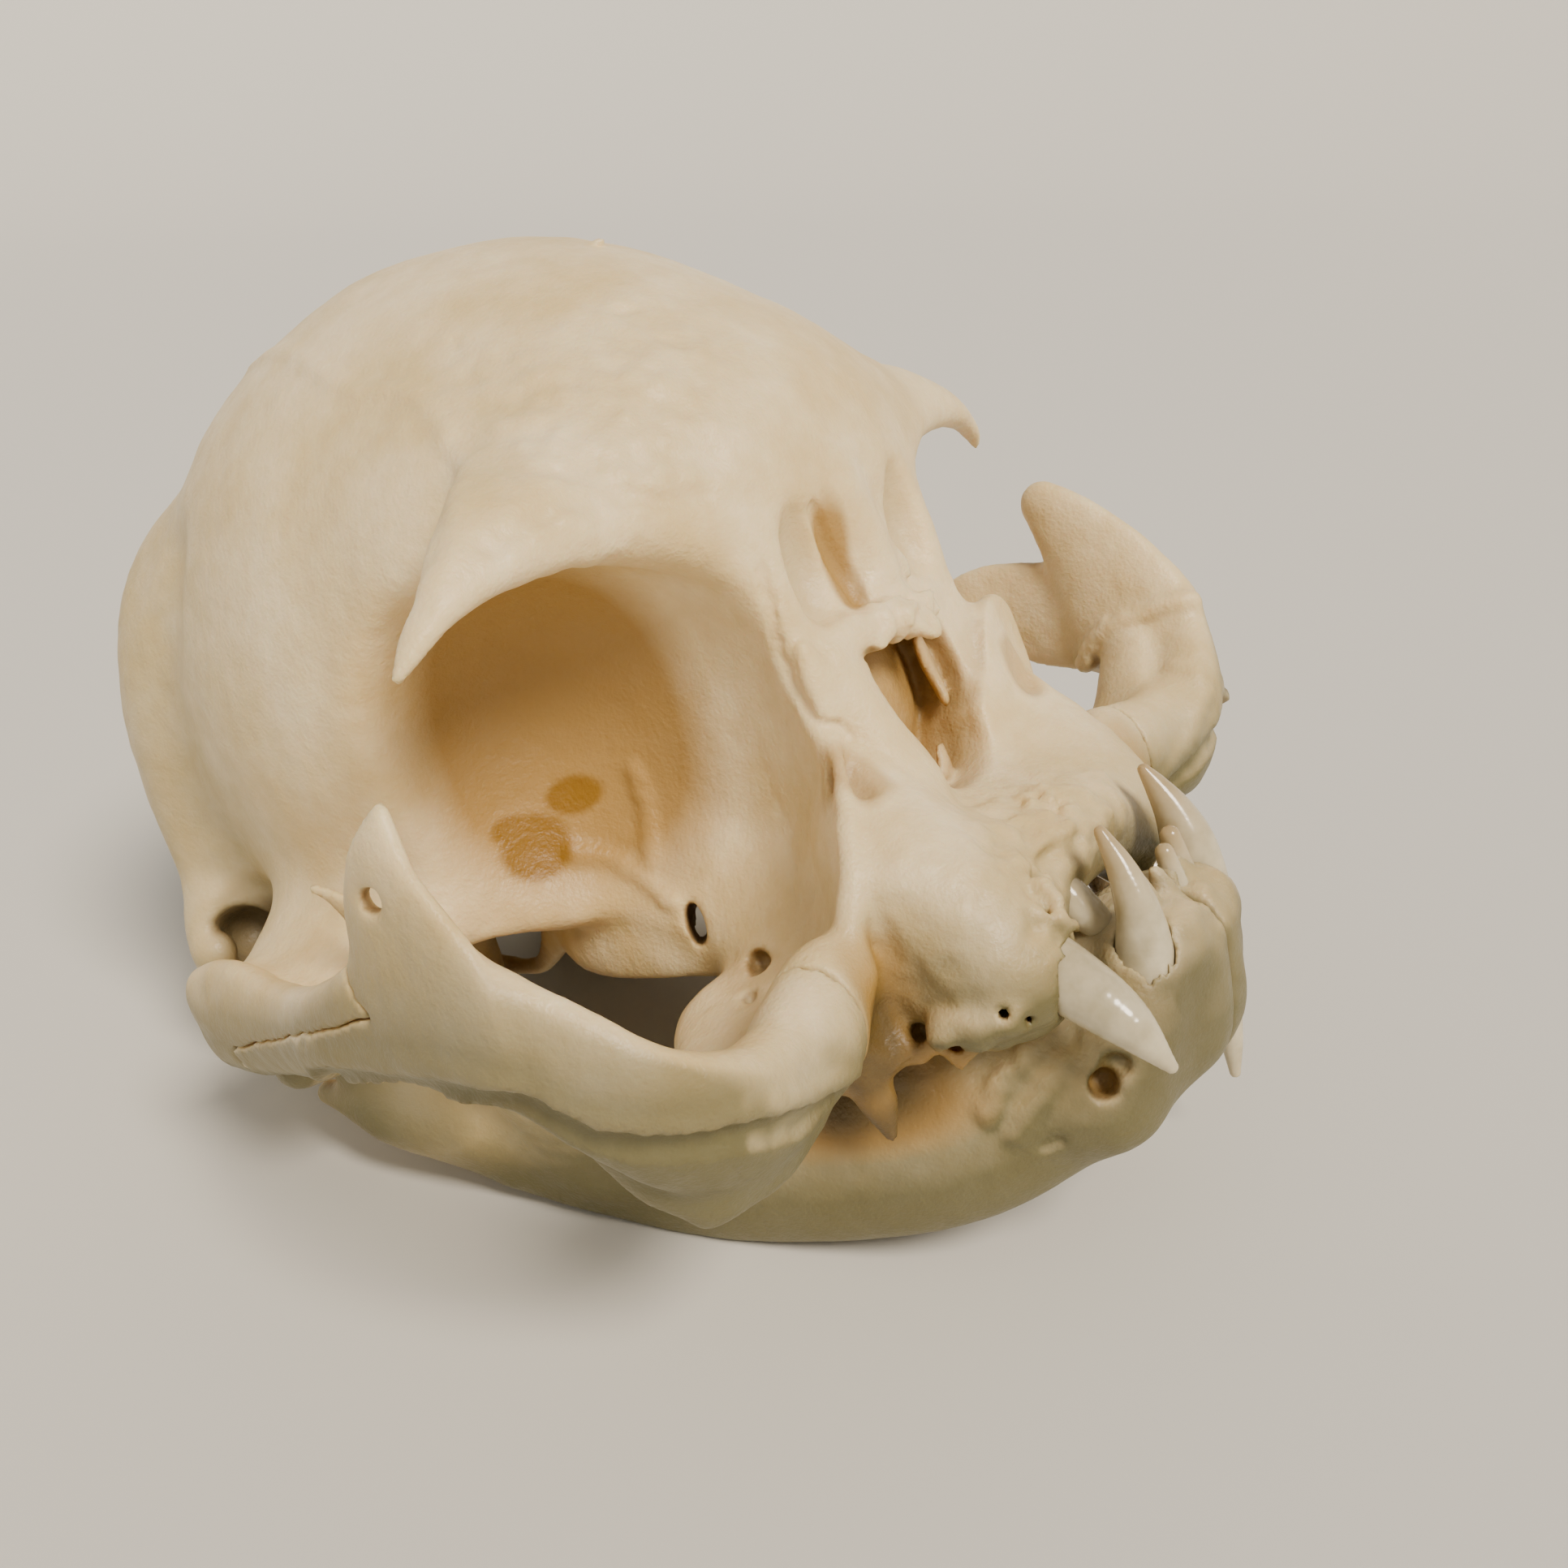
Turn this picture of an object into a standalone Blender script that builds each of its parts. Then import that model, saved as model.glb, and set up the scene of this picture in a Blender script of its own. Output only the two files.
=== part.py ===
"""Skull of a short-faced cat with its lower jaw closed, lying nose up on the jaw and the ear bullae."""
# Frame while modelling, in mm: +X the skull's left, -Y the muzzle, +Z up, the palate near z = 0.

from math import cos, radians, sin

import bmesh
import bpy
import numpy as np
import openvdb
from mathutils import Euler, Vector

MM = 0.001                # the forms below are in mm, the objects in metres
NOSE_UP = 16.6            # degrees that the palate tilts when the skull lies at rest
VOXEL = 0.6               # grid of the modelled forms
FINE_VOXEL = 0.3          # for the cheekbones and the canines
GAP = 0.36                # left between neighbouring bones
FLAT_DEPTH = 0.35         # taken off the lowest points, so that the skull rests on small flats
FRONT_SUTURE = dict(at=(0, -17, 27), normal=(0, -0.9, -0.43))
TRIANGLES = dict(cranium=3300, upper_jaw=2000, cheek=740, mandible=1000, canine=140)

BONE = dict(color=(0.76, 0.67, 0.53), roughness=0.55)
ENAMEL = dict(color=(0.80, 0.75, 0.64), roughness=0.22)



far = 9.0  # a distance that counts as well outside, mm


def smoothPath(points, steps):  # a smooth curve through rows of numbers
    rows = np.array(points, float)
    rows = np.vstack([2 * rows[0] - rows[1], rows, 2 * rows[-1] - rows[-2]])
    curve = []
    for i in range(1, len(rows) - 2):
        a, b, c, d = rows[i - 1:i + 3]
        for t in np.arange(steps) / steps:
            bend = (2 * a - 5 * b + 4 * c - d) * t ** 2 + (3 * b - a - 3 * c + d) * t ** 3
            curve.append(b + 0.5 * ((c - a) * t + bend))
    curve.append(rows[-2])
    return np.array(curve)


def turned(q, turn):  # q in the axes of a form that is turned by degrees about x, then y, then z
    x, y, z = q
    for axis, angle in zip("zyx", reversed(turn)):
        c = np.cos(np.radians(angle))
        s = np.sin(np.radians(angle))
        if axis == "x":
            y, z = c * y + s * z, c * z - s * y
        elif axis == "y":
            z, x = c * z + s * x, c * x - s * z
        else:
            x, y = c * x + s * y, c * y - s * x
    return x, y, z


def rounded(parts, radii, power=2):  # roughly the distance to a ball stretched to these radii
    terms = [np.abs(part) / radius for part, radius in zip(parts, radii)]
    k = sum(term ** power for term in terms) ** (1 / power) + 1e-6
    slope = np.sqrt(sum((term ** (power - 1) / radius) ** 2 for term, radius in zip(terms, radii)))
    return (k - 1) * k ** (power - 1) / (slope + 1e-6)


class Clay:  # a block of distances to a surface, on a grid, in mm; negative is inside
    def __init__(self, low, high, voxel):
        self.voxel = voxel
        self.low = np.round(np.array(low, float) / voxel) * voxel
        counts = np.round((np.array(high) - self.low) / voxel).astype(int) + 1
        self.axes = [self.low[i] + voxel * np.arange(counts[i]) for i in range(3)]
        self.field = np.full(counts, far, np.float32)

    def window(self, low, high):  # the part of the grid that a form can change
        cuts = []
        sides = []
        for axis, a, b in zip(self.axes, low, high):
            start, end = np.searchsorted(axis, (a, b))
            cuts.append(slice(start, end))
            sides.append(axis[start:end].astype(np.float32))
        x, y, z = sides
        return tuple(cuts), (x[:, None, None], y[None, :, None], z[None, None, :])

    def blend(self, cuts, d, soft, cut):  # joins a form on, or cuts it away, over a soft edge
        old = self.field[cuts]
        if cut:
            h = np.maximum(soft - np.abs(old + d), 0)
            self.field[cuts] = np.maximum(old, -d) + h * h / (4 * soft)
        else:
            h = np.maximum(soft - np.abs(old - d), 0)
            self.field[cuts] = np.minimum(old, d) - h * h / (4 * soft)

    def ball(self, at, radii, soft=1, turn=None, cut=False, power=2):
        reach = np.array(radii) if turn is None else np.full(3, max(radii))
        pad = reach + soft + 2 * self.voxel + 1
        cuts, xyz = self.window(at - pad, at + pad)
        q = [xyz[i] - at[i] for i in range(3)]
        if turn is not None:
            q = turned(q, turn)
        self.blend(cuts, rounded(q, radii, power), soft, cut)

    def rod(self, points, soft=1, cut=False, steps=4):  # points are x, y, z, radius
        p = smoothPath(points, steps)
        pad = soft + 2 * self.voxel + 1 + p[:, 3].max()
        cuts, (x, y, z) = self.window(p[:, :3].min(0) - pad, p[:, :3].max(0) + pad)
        best = far
        for a, b in zip(p[:-1], p[1:]):
            e = b[:3] - a[:3]
            t = ((x - a[0]) * e[0] + (y - a[1]) * e[1] + (z - a[2]) * e[2]) / (e @ e + 1e-9)
            t = np.clip(t, 0, 1)
            away = [q - a[i] - t * e[i] for i, q in enumerate((x, y, z))]
            d = np.sqrt(sum(q ** 2 for q in away)) - a[3] - t * (b[3] - a[3])
            best = np.minimum(best, d)
        self.blend(cuts, best, soft, cut)

    def blade(self, points, soft=1, cut=False, steps=6, power=2):
        # points are x, y, z, half width, half thickness and the way that the flat side faces
        p = smoothPath(points, steps)
        p[:, 3:5] = np.maximum(p[:, 3:5], 0.15)
        p[:, 5:] /= np.linalg.norm(p[:, 5:], axis=1)[:, None]
        pad = soft + 2 * self.voxel + 1 + p[:, 3:5].max()
        cuts, (x, y, z) = self.window(p[:, :3].min(0) - pad, p[:, :3].max(0) + pad)
        best = far
        for a, b in zip(p[:-1], p[1:]):
            e = b - a
            t = ((x - a[0]) * e[0] + (y - a[1]) * e[1] + (z - a[2]) * e[2]) / (e[:3] @ e[:3] + 1e-9)
            t = np.clip(t, 0, 1)
            away = [q - a[i] - t * e[i] for i, q in enumerate((x, y, z))]
            across = sum(q * (a[5 + i] + t * e[5 + i]) for i, q in enumerate(away))
            along = np.sqrt(np.maximum(sum(q ** 2 for q in away) - across ** 2, 0))
            d = rounded((across, along), (a[4] + t * e[4], a[3] + t * e[3]), power)
            best = np.minimum(best, d)
        self.blend(cuts, best, soft, cut)

    def slab(self, at, normal, soft=1):  # cuts away what lies beyond a plane
        n = np.array(normal) / np.linalg.norm(normal)
        cuts, xyz = self.window(self.low - 1, [axis[-1] + 1 for axis in self.axes])
        self.blend(cuts, -sum((xyz[i] - at[i]) * n[i] for i in range(3)), soft, True)


def sculpt(clay, forms):  # each form is named; its first word is the tool and the place
    for form in forms.values():
        settings = dict(form)
        tool = next(iter(form))
        getattr(clay, tool)(settings.pop(tool), **settings)
    return clay


def mirrored(clay):  # the half at x >= 0 with its mirror image
    whole = Clay((0, 0, 0), (1, 1, 1), clay.voxel)
    keep = clay.axes[0] > -clay.voxel / 2
    half = clay.field[keep]
    across = clay.axes[0][keep]
    whole.axes = [np.concatenate([-across[:0:-1], across])] + clay.axes[1:]
    whole.low = np.array([axis[0] for axis in whole.axes])
    whole.field = np.concatenate([half[:0:-1], half])
    return whole


def flipped(clay):  # the same form on the other side of the head
    other = Clay((0, 0, 0), (1, 1, 1), clay.voxel)
    other.axes = [-clay.axes[0][::-1]] + clay.axes[1:]
    other.low = np.array([axis[0] for axis in other.axes])
    other.field = clay.field[::-1]
    return other


block = dict(low=(0, -44, -22), high=(42, 50, 54))  # the half at x >= 0 is modelled and mirrored

braincase = dict(
    brain=dict(ball=(0, 11.7, 23), radii=(22.6, 28.1, 27.1)),
    forehead=dict(ball=(0, 2, 27.4), radii=(20, 20.5, 20), soft=7),
    temple=dict(ball=(8, -4.5, 29), radii=(13.5, 11, 11.5), power=2.4, soft=5),
    nape=dict(ball=(0, 29, 22.5), radii=(17.5, 12, 17.5), soft=6),
    underside=dict(slab=(0, 20, 5), normal=(0, 0.05, -1), soft=5),
    nuchalCrest=dict(rod=[(0, 36.4, 35.5, 1.6), (7, 34.9, 35.5, 1.8), (12, 33, 33, 2), (15.2, 33, 27.5, 1.9),
                          (16.8, 33.8, 19, 1.7), (17.6, 33.6, 9, 2)], soft=7),
    nuchalGroove=dict(rod=[(18.4, 24.2, 36, 1), (20.8, 27.2, 29, 1.1), (21.6, 28.6, 21, 1.1),
                           (21.2, 29, 14, 1)], soft=3.8, cut=True),
    mastoid=dict(ball=(18.6, 33, 6), radii=(2.6, 3, 4.6), soft=3),
    septum=dict(blade=[(0, -8, 14, 11, 8.8, 1, 0, 0), (0, 2, 14, 11, 7.6, 1, 0, 0),
                       (0, 10, 13, 10, 8, 1, 0, 0)], soft=5),
    browRidge=dict(ball=(0, -10.5, 31), radii=(16, 8.7, 7), soft=5),
    bulla=dict(ball=(12.5, 24, 0.4), radii=(6.8, 10.5, 7.75), soft=2),
    condyle=dict(ball=(6.5, 39, 4.5), radii=(3.5, 4.5, 5), soft=2),
    foramenMagnum=dict(ball=(0, 42, 8.5), radii=(6.5, 9, 6), soft=1.5, cut=True),
    paroccipital=dict(rod=[(15.5, 35, 6, 2.2), (14.8, 34.6, 1, 1.8), (14.2, 33.8, -2.4, 1)], soft=2),
    baseBar=dict(rod=[(0, 38, 6, 4), (0, 20, 6.5, 4), (0, 2, 6.5, 4.5), (0, -8, 6, 4)], soft=3),
    cheekRoot=dict(blade=[(13, 16, 9, 8.5, 3.8, 0, -0.1, 1), (18, 15, 8.6, 8.5, 3, 0.1, -0.1, 1),
                          (22, 14.2, 7.8, 8, 2, 0.2, 0, 1)], soft=5),
    earHole=dict(ball=(21.8, 27.6, 8), radii=(5, 4.3, 3.7), soft=1.6, cut=True),
)

face = dict(
    plate=dict(ball=(0, -13.5, 20.5), radii=(10.4, 7, 13.5), power=4, soft=1),
    cheeks=dict(ball=(0, -11.5, 9), radii=(13.5, 11, 8), power=3, soft=3),
    orbitMargin=dict(rod=[(9.6, -16.6, 27.5, 1.1), (9.4, -17.6, 22.5, 1.2), (10, -18.3, 17.8, 1.2),
                          (11.2, -19.8, 14.5, 1.3), (12.4, -20.6, 11.7, 1.6), (15, -20.9, 7, 2.2),
                          (17.6, -20.9, 4.8, 2.6)], soft=3),
    orbitFloor=dict(ball=(15.4, -15.2, -0.5), radii=(6.3, 7.2, 3.2), soft=3),
    canineJut=dict(rod=[(8, -17, 8, 4.5), (11.3, -22.6, 5, 5), (11, -26.4, 2, 4.2),
                        (10.8, -29.2, 0.5, 2.9)], soft=4),
    alveolus=dict(rod=[(11, -27.8, 0.5, 2.4), (14.5, -23.2, -0.5, 2.9), (17, -18, -1, 2.6),
                       (17, -13.6, -0.4, 2.3), (15.8, -11.2, 0.6, 1.5)], soft=3),
    premaxilla=dict(ball=(0, -24.2, 4), radii=(11, 5.8, 4), power=2.5, soft=3.5),
    incisorBar=dict(rod=[(0, -29.5, 5, 1.5), (3.6, -29.3, 4.1, 1.7), (7, -28.3, 2.7, 2.1)], soft=2.5),
    palate=dict(ball=(0, -16, 2.8), radii=(13, 13, 2.8), soft=3),
    cheekStub=dict(rod=[(15, -19.6, 4, 4), (20, -22, 3, 3.4), (23, -23, 2.6, 3)], soft=3),
    nasals=dict(rod=[(0, -15, 28, 3), (0, -16.6, 24, 2.6), (0, -18.2, 19.6, 2.7)], soft=3),
)

hollows = dict(  # cut once all the bone of the head is there
    orbit=dict(ball=(24.5, -9.5, 15.8), radii=(16.2, 14.6, 15), power=2.6, soft=2, cut=True),
    tearHollow=dict(ball=(16.8, -17.8, 8.2), radii=(3.6, 5, 4.6), soft=3, cut=True),
    jawGap=dict(ball=(13.5, 8.5, 3), radii=(6.5, 5, 5.2), soft=1.5, cut=True),
    stop=dict(ball=(0, -23, 24.6), radii=(7, 3.9, 5), soft=2.5, cut=True),
    nasalCavity=dict(ball=(0, -17, 15.3), radii=(6.6, 8.5, 4.3), power=2.8, soft=0.6, cut=True),
    nasalFloor=dict(ball=(0, -18, 12), radii=(5.1, 8.4, 4.2), power=2.2, soft=0.6, cut=True),
)

processes = dict(
    cheekSpine=dict(blade=[(28.9, 20, 7.5, 2.3, 1.4, 0.95, 0.25, 0), (30, 15, 7.6, 3.2, 1.3, 1, 0.25, 0),
                           (32, 8, 7.8, 2.6, 1.2, 1, 0.25, 0), (33.6, 3, 8.2, 2.3, 1.1, 1, 0.2, 0),
                           (35.2, -2, 9.6, 2, 1, 1, 0.2, 0), (36.6, -6.6, 11.6, 1.4, 0.9, 1, 0.15, 0)],
                    soft=3, steps=7),
    browHorn=dict(blade=[(12, -12.6, 32, 5.4, 2.6, 0.2, -0.6, 0.7),
                         (16, -12.6, 32.7, 4.8, 2.3, 0.35, -0.6, 0.7),
                         (20.5, -12.4, 32.6, 4.1, 1.9, 0.45, -0.6, 0.65),
                         (25, -12.8, 31.6, 2.7, 1.4, 0.6, -0.55, 0.55),
                         (28.8, -13, 29.8, 1.4, 0.9, 0.75, -0.4, 0.5),
                         (31.2, -12.7, 28.2, 0.9, 0.6, 0.85, -0.2, 0.45),
                         (32.5, -12.3, 26.9, 0.4, 0.4, 0.9, -0.1, 0.4)], soft=2.5, steps=7),
    frontCusp=dict(rod=[(16.6, -21, -1.5, 1.7), (16.9, -21.8, -4.6, 1.2), (16.8, -21.9, -7.3, 0.35)],
                   soft=0.8),
    middleCusp=dict(rod=[(17.2, -16.8, -2, 1.8), (17.4, -16.6, -4.6, 1.2), (17.3, -16.2, -7, 0.35)],
                    soft=1.4),
    rearCusp=dict(rod=[(17, -13.4, -1.6, 1.4), (16.9, -13, -5.2, 0.35)], soft=1.4),
    premolar=dict(rod=[(14, -25.6, -1.4, 1.2), (14.2, -26, -4.6, 0.35)], soft=0.8),
    pterygoid=dict(blade=[(10, -7, 5, 4.8, 1, 1, 0, 0.3), (10.4, -2, 4.4, 4.2, 0.9, 1, 0, 0.3),
                          (10, 3, 4.2, 3.8, 0.9, 1, 0.1, 0.3), (8.6, 8, 3, 2, 0.7, 1, 0.1, 0.1),
                          (6.2, 14, -1, 0.9, 0.5, 1, 0, 0), (6, 18.5, -1.1, 0.6, 0.5, 1, 0, 0)], soft=1.5),
)

rightArch = dict(
    bar=dict(blade=[(20, -22.4, 3.4, 2.8, 2.4, 0.1, -1, -0.1), (25, -23, 2, 3.6, 2.1, 0.3, -1, -0.3),
                    (30.4, -22.8, 2, 4.4, 1.9, 0.6, -0.8, -0.4), (34.8, -21.6, 5.2, 4, 1.6, 0.85, -0.5, -0.4),
                    (37, -18.4, 9.2, 3.7, 1.4, 1, -0.3, -0.2), (37.6, -13, 11.3, 4, 1.2, 1, 0, 0),
                    (36.8, -6.5, 9.8, 3.1, 1.1, 1, 0.1, 0), (35, 0, 8.3, 2.6, 1.1, 1, 0.2, 0),
                    (33.2, 5, 7.6, 2.4, 1.2, 1, 0.25, 0), (31.6, 10, 6.8, 2.6, 1.2, 1, 0.25, 0),
                    (30.2, 14.5, 6.2, 3, 1.3, 1, 0.25, 0), (28.8, 19.6, 4.4, 1.9, 1.3, 1, 0.25, 0)], steps=7),
    horn=dict(blade=[(37.8, -13.4, 12.6, 5.6, 1.1, 1, 0.15, 0), (38, -13.2, 15.6, 4.4, 0.9, 1, 0.15, 0),
                     (37.9, -13.3, 18.6, 2.6, 0.75, 1, 0.15, 0), (37.6, -14.4, 22, 0.45, 0.45, 1, 0.1, 0)],
              soft=1.5, steps=7),
    scar=dict(blade=[(24, -21.5, -0.6, 2.6, 1.3, 0.2, -1, 0.2), (28, -20.6, -1.4, 2.8, 1.3, 0.5, -0.8, 0.3),
                     (31, -18.6, -0.6, 2.4, 1.2, 0.8, -0.5, 0.2), (34, -16.8, 4.4, 1.6, 1, 1, -0.4, 0)],
              soft=1.5),
    spur=dict(rod=[(29, -20.6, -1, 1.6), (30, -19.8, -2.8, 1.1), (30.4, -19.2, -4, 0.5)], soft=1.5),
    hole=dict(rod=[(34, -9.2, 16.7, 0.6), (42, -15.4, 18.7, 0.6)], soft=0.2, cut=True),
)
leftArch = dict(
    bar=dict(blade=[(20, -22.6, 3.4, 3, 2.6, 0.1, -1, -0.1), (26, -24, 1.6, 4.2, 2.2, 0.3, -1, -0.15),
                    (31.5, -24.4, 1.4, 5.2, 1.9, 0.6, -0.8, -0.1), (35.2, -23.4, 4.8, 5.2, 1.6, 0.9, -0.4, 0),
                    (37, -20.2, 9.2, 5, 1.4, 1, 0, 0), (37.4, -13.5, 10.8, 4.6, 1.2, 1, 0.05, 0),
                    (37, -7, 12, 4.2, 1.1, 1, 0.1, 0), (35.2, 0, 9.4, 3.2, 1.1, 1, 0.2, 0),
                    (33.2, 5, 7.9, 2.7, 1.2, 1, 0.25, 0), (31.6, 10, 6.8, 2.6, 1.2, 1, 0.25, 0),
                    (30.2, 14.5, 6.2, 3, 1.3, 1, 0.25, 0), (28.8, 19.6, 4.4, 1.9, 1.3, 1, 0.25, 0)], steps=7),
    horn=dict(blade=[(36.6, -21, 10, 4.9, 1.3, 1, 0.05, 0), (36.8, -19.4, 14, 4.2, 1.3, 1, 0.1, 0),
                     (36.8, -16.8, 18, 3.1, 1.2, 1, 0.1, 0), (36.8, -14.9, 20.6, 2, 1.1, 1, 0.1, 0)],
              soft=2.2, steps=7),
    sill=dict(blade=[(24, -21, 2.4, 2.6, 1.3, -0.3, 0.2, 1), (29, -20.8, 4, 2.6, 1.1, -0.5, 0.3, 0.8),
                     (33, -20.6, 7.4, 2.2, 1, -0.8, 0.3, 0.5)], soft=2.5),
    upperRidge=dict(rod=[(35, -16.5, 7, 0.6), (35.2, -18.5, 8.9, 0.7), (35.3, -21, 10, 0.7),
                         (35.6, -23.4, 10.3, 0.7), (36, -25.4, 10.2, 0.6)], soft=1.2),
    lowerRidge=dict(rod=[(33.5, -16.5, 0.9, 0.6), (34.6, -20, 2.9, 0.7), (35.6, -23.3, 2.7, 0.7),
                         (36.4, -26.6, 2.1, 0.7)], soft=1.2),
    splinter=dict(rod=[(35.4, -25.5, 2.4, 1), (35.2, -27.4, 1.4, 0.7), (35, -28.6, 0.8, 0.4)], soft=0.8),
)

mandible = dict(
    body=dict(blade=[(3, -31.8, -5.4, 5.6, 2.5, 0.9, -0.3, 0), (5.4, -28.6, -7.6, 6, 2.7, 1, -0.35, 0),
                     (10.6, -21, -10.9, 6.2, 3.2, 1, -0.3, 0), (15, -8, -10.5, 6.4, 2.8, 1, -0.25, 0),
                     (18.5, 3, -7, 6.3, 2.2, 1, -0.2, 0), (21, 11, -2.8, 5.6, 1.8, 1, -0.2, 0),
                     (22.3, 16, 0.4, 3.2, 1.6, 1, -0.2, 0)], soft=2, steps=12),
    lip=dict(rod=[(0, -35.6, -1.6, 2), (3, -35.4, -1.6, 1.9)], soft=3),
    canineRoot=dict(rod=[(5.2, -34, -2.4, 2.5), (5.8, -33, -6, 3), (6.4, -31, -10, 3)], soft=2),
    symphysisBase=dict(ball=(5.4, -28.4, -8.8), radii=(4.6, 4.6, 4.2), soft=3),
    chin=dict(ball=(0, -32.2, -5.4), radii=(4.2, 4.1, 6.2), soft=3, turn=(-20, 0, 0)),
    angle=dict(rod=[(20.4, 9, -5.5, 2), (21.8, 15.5, -5, 1.6), (22.8, 21, -3, 0.9)], soft=3),
    coronoid=dict(blade=[(19, -1, -5, 6, 1.6, 1, -0.2, 0), (23.3, 1.2, 3, 4.2, 1.1, 1, -0.2, 0),
                         (26.3, 3, 9.4, 2, 0.7, 1, -0.2, 0), (27.6, 5, 13.4, 0.8, 0.5, 1, -0.2, 0),
                         (28, 6.8, 14.7, 0.4, 0.4, 1, -0.2, 0)], soft=2, steps=7),
    condyle=dict(rod=[(20, 15, 2, 2), (24, 15, 2.2, 2.2), (28, 14.5, 2.6, 1.8)], soft=2),
    firstIncisor=dict(rod=[(1, -34.8, -0.8, 0.8), (1, -34.3, 2.3, 0.4)], soft=0.5),
    thirdIncisor=dict(rod=[(2.6, -34.6, -0.8, 0.9), (2.7, -34.2, 2.6, 0.4)], soft=0.5),
    premolar=dict(rod=[(11.2, -21, -5.6, 1.8), (11.6, -21.2, -1.6, 0.4)], soft=1),
    molar=dict(blade=[(13.4, -15.6, -4.6, 2, 1.3, 1, -0.2, 0), (14.6, -11.4, -4.4, 2, 1.3, 1, -0.2, 0)],
               soft=1),
)

upperCanine = [(10, -25.4, 4.5, 1.9), (10.5, -28.9, 2, 2.2), (10.9, -32.2, 0.1, 2),
               (11.3, -35.3, -2.2, 1.5), (11.5, -37.6, -5, 0.4)]
slippedCanine = [(9.6, -25, 0.6, 1.8), (10.6, -28, -2, 2), (11.2, -30.6, -5.4, 1.9), (11, -31.8, -10, 1.5),
                 (10.4, -32.2, -14.5, 0.9), (10, -32.1, -17.6, 0.4)]
lowerCanine = [(5.2, -33.5, -6, 2), (5.3, -34.4, -2.5, 1.9), (5.2, -34.8, 1, 1.4), (5, -34.3, 4, 0.9),
               (4.8, -33.4, 6.4, 0.4)]
leftLowerCanine = [(5.2, -33.5, -6, 2), (5.6, -34, -2.5, 2.1), (5.9, -34, 0.8, 1.8), (5.9, -33.6, 3.2, 1.3),
                   (5.7, -32.9, 5.2, 0.8), (5.5, -32.3, 6.6, 0.4)]

rightSide = dict(  # what differs on the right, once the halves are joined
    canineRoot=dict(rod=[(-10.4, -22.5, 8, 3.4), (-12, -25.6, 4.4, 4.5), (-12, -28.6, 1.2, 3.6)], soft=4),
    canineFossa=dict(ball=(-18.4, -27, 2), radii=(2.2, 3, 6.5), soft=3, cut=True),
    noseRim=dict(rod=[(-7, -20, 18.6, 0.9), (-6.8, -20.6, 16.2, 1.2), (-6.5, -21.3, 13.6, 1.3),
                      (-5.8, -22.2, 10.8, 1.3)], soft=3),
    cornerIncisor=dict(rod=[(-3.8, -28.9, 3.6, 1.1), (-3.5, -30.5, 1, 1), (-3, -31.8, -1.5, 0.35)], soft=0.4),
)
leftSide = dict(  # what differs on the left, once the halves are joined
    emptySocket=dict(ball=(13.5, -31.5, -0.5), radii=(4.5, 4.2, 5), soft=1, cut=True),
    orbitTab=dict(blade=[(11.4, -20.2, 9, 5.4, 1, 0.2, -1, 0.1), (12.4, -20.6, 12, 5.2, 0.9, 0.2, -1, 0.1),
                         (12.6, -20.6, 13.2, 4.8, 0.7, 0.2, -1, 0)], soft=1.6, power=4),
)

rightSutures = dict(  # planes that end a cheekbone; a point on each, and the way to the cheekbone
    front=dict(at=(22, -22.8, 3), normal=(1, -0.25, 0)),
    under=dict(at=(30.4, 19, 4.6), normal=(0, -0.25, -1)),
    tip=dict(at=(38, -8.6, 12.6), normal=(0, -0.8, 0.6)),
)
leftSutures = dict(rightSutures, tip=dict(at=(36, 1.5, 10), normal=(0, -0.9, 0.4)))



def plane(clay, at, normal):  # distance beyond a plane, on the clay's own grid
    n = np.array(normal) / np.linalg.norm(normal)
    x, y, z = clay.axes
    return ((x - at[0]) * n[0])[:, None, None] + ((y - at[1]) * n[1])[:, None] + (z - at[2]) * n[2]


def keepClear(clay, other, gap):  # carves a gap round a neighbour
    start = np.round((other.low - clay.low) / clay.voxel).astype(int)
    first = np.maximum(start, 0)
    last = np.minimum(start + other.field.shape, clay.field.shape)
    if (last <= first).any():
        return
    mine = tuple(slice(a, b) for a, b in zip(first, last))
    theirs = tuple(slice(a, b) for a, b in zip(first - start, last - start))
    clay.field[mine] = np.maximum(clay.field[mine], gap - other.field[theirs])


def halfClay():
    return Clay((-VOXEL,) + block["low"][1:], block["high"], VOXEL)


def skullClay():  # cranium and upper jaw in one
    half = halfClay()
    for forms in (braincase, face, hollows, processes):
        sculpt(half, forms)
    return sculpt(sculpt(mirrored(half), rightSide), leftSide)


def archClay(forms, sutures, voxel):
    clay = sculpt(Clay((10,) + block["low"][1:], block["high"], voxel), forms)
    front, under, tip = [plane(clay, **suture) for suture in sutures.values()]
    inside = np.minimum(front, np.maximum(under, tip))
    clay.field = np.maximum(clay.field, GAP / 2 - inside).astype(np.float32)
    return clay


def toothClay(path, voxel):
    rows = np.array(path)
    reach = rows[:, 3].max() + 2
    clay = Clay(rows[:, :3].min(0) - reach, rows[:, :3].max(0) + reach, voxel)
    clay.rod(path, soft=0.1, steps=5)
    return clay


def meshOf(clay, name):  # the surface where the distance is nought
    field = np.pad(clay.field, 1, constant_values=far)
    grid = openvdb.FloatGrid(far)
    grid.copyFromArray(field)
    points, triangles, quads = grid.convertToPolygons()
    corners = (points - 1) * clay.voxel + clay.low
    mesh = bpy.data.meshes.new(name)
    mesh.from_pydata((corners * MM).tolist(), [], triangles.tolist() + quads.tolist())
    return mesh


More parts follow.
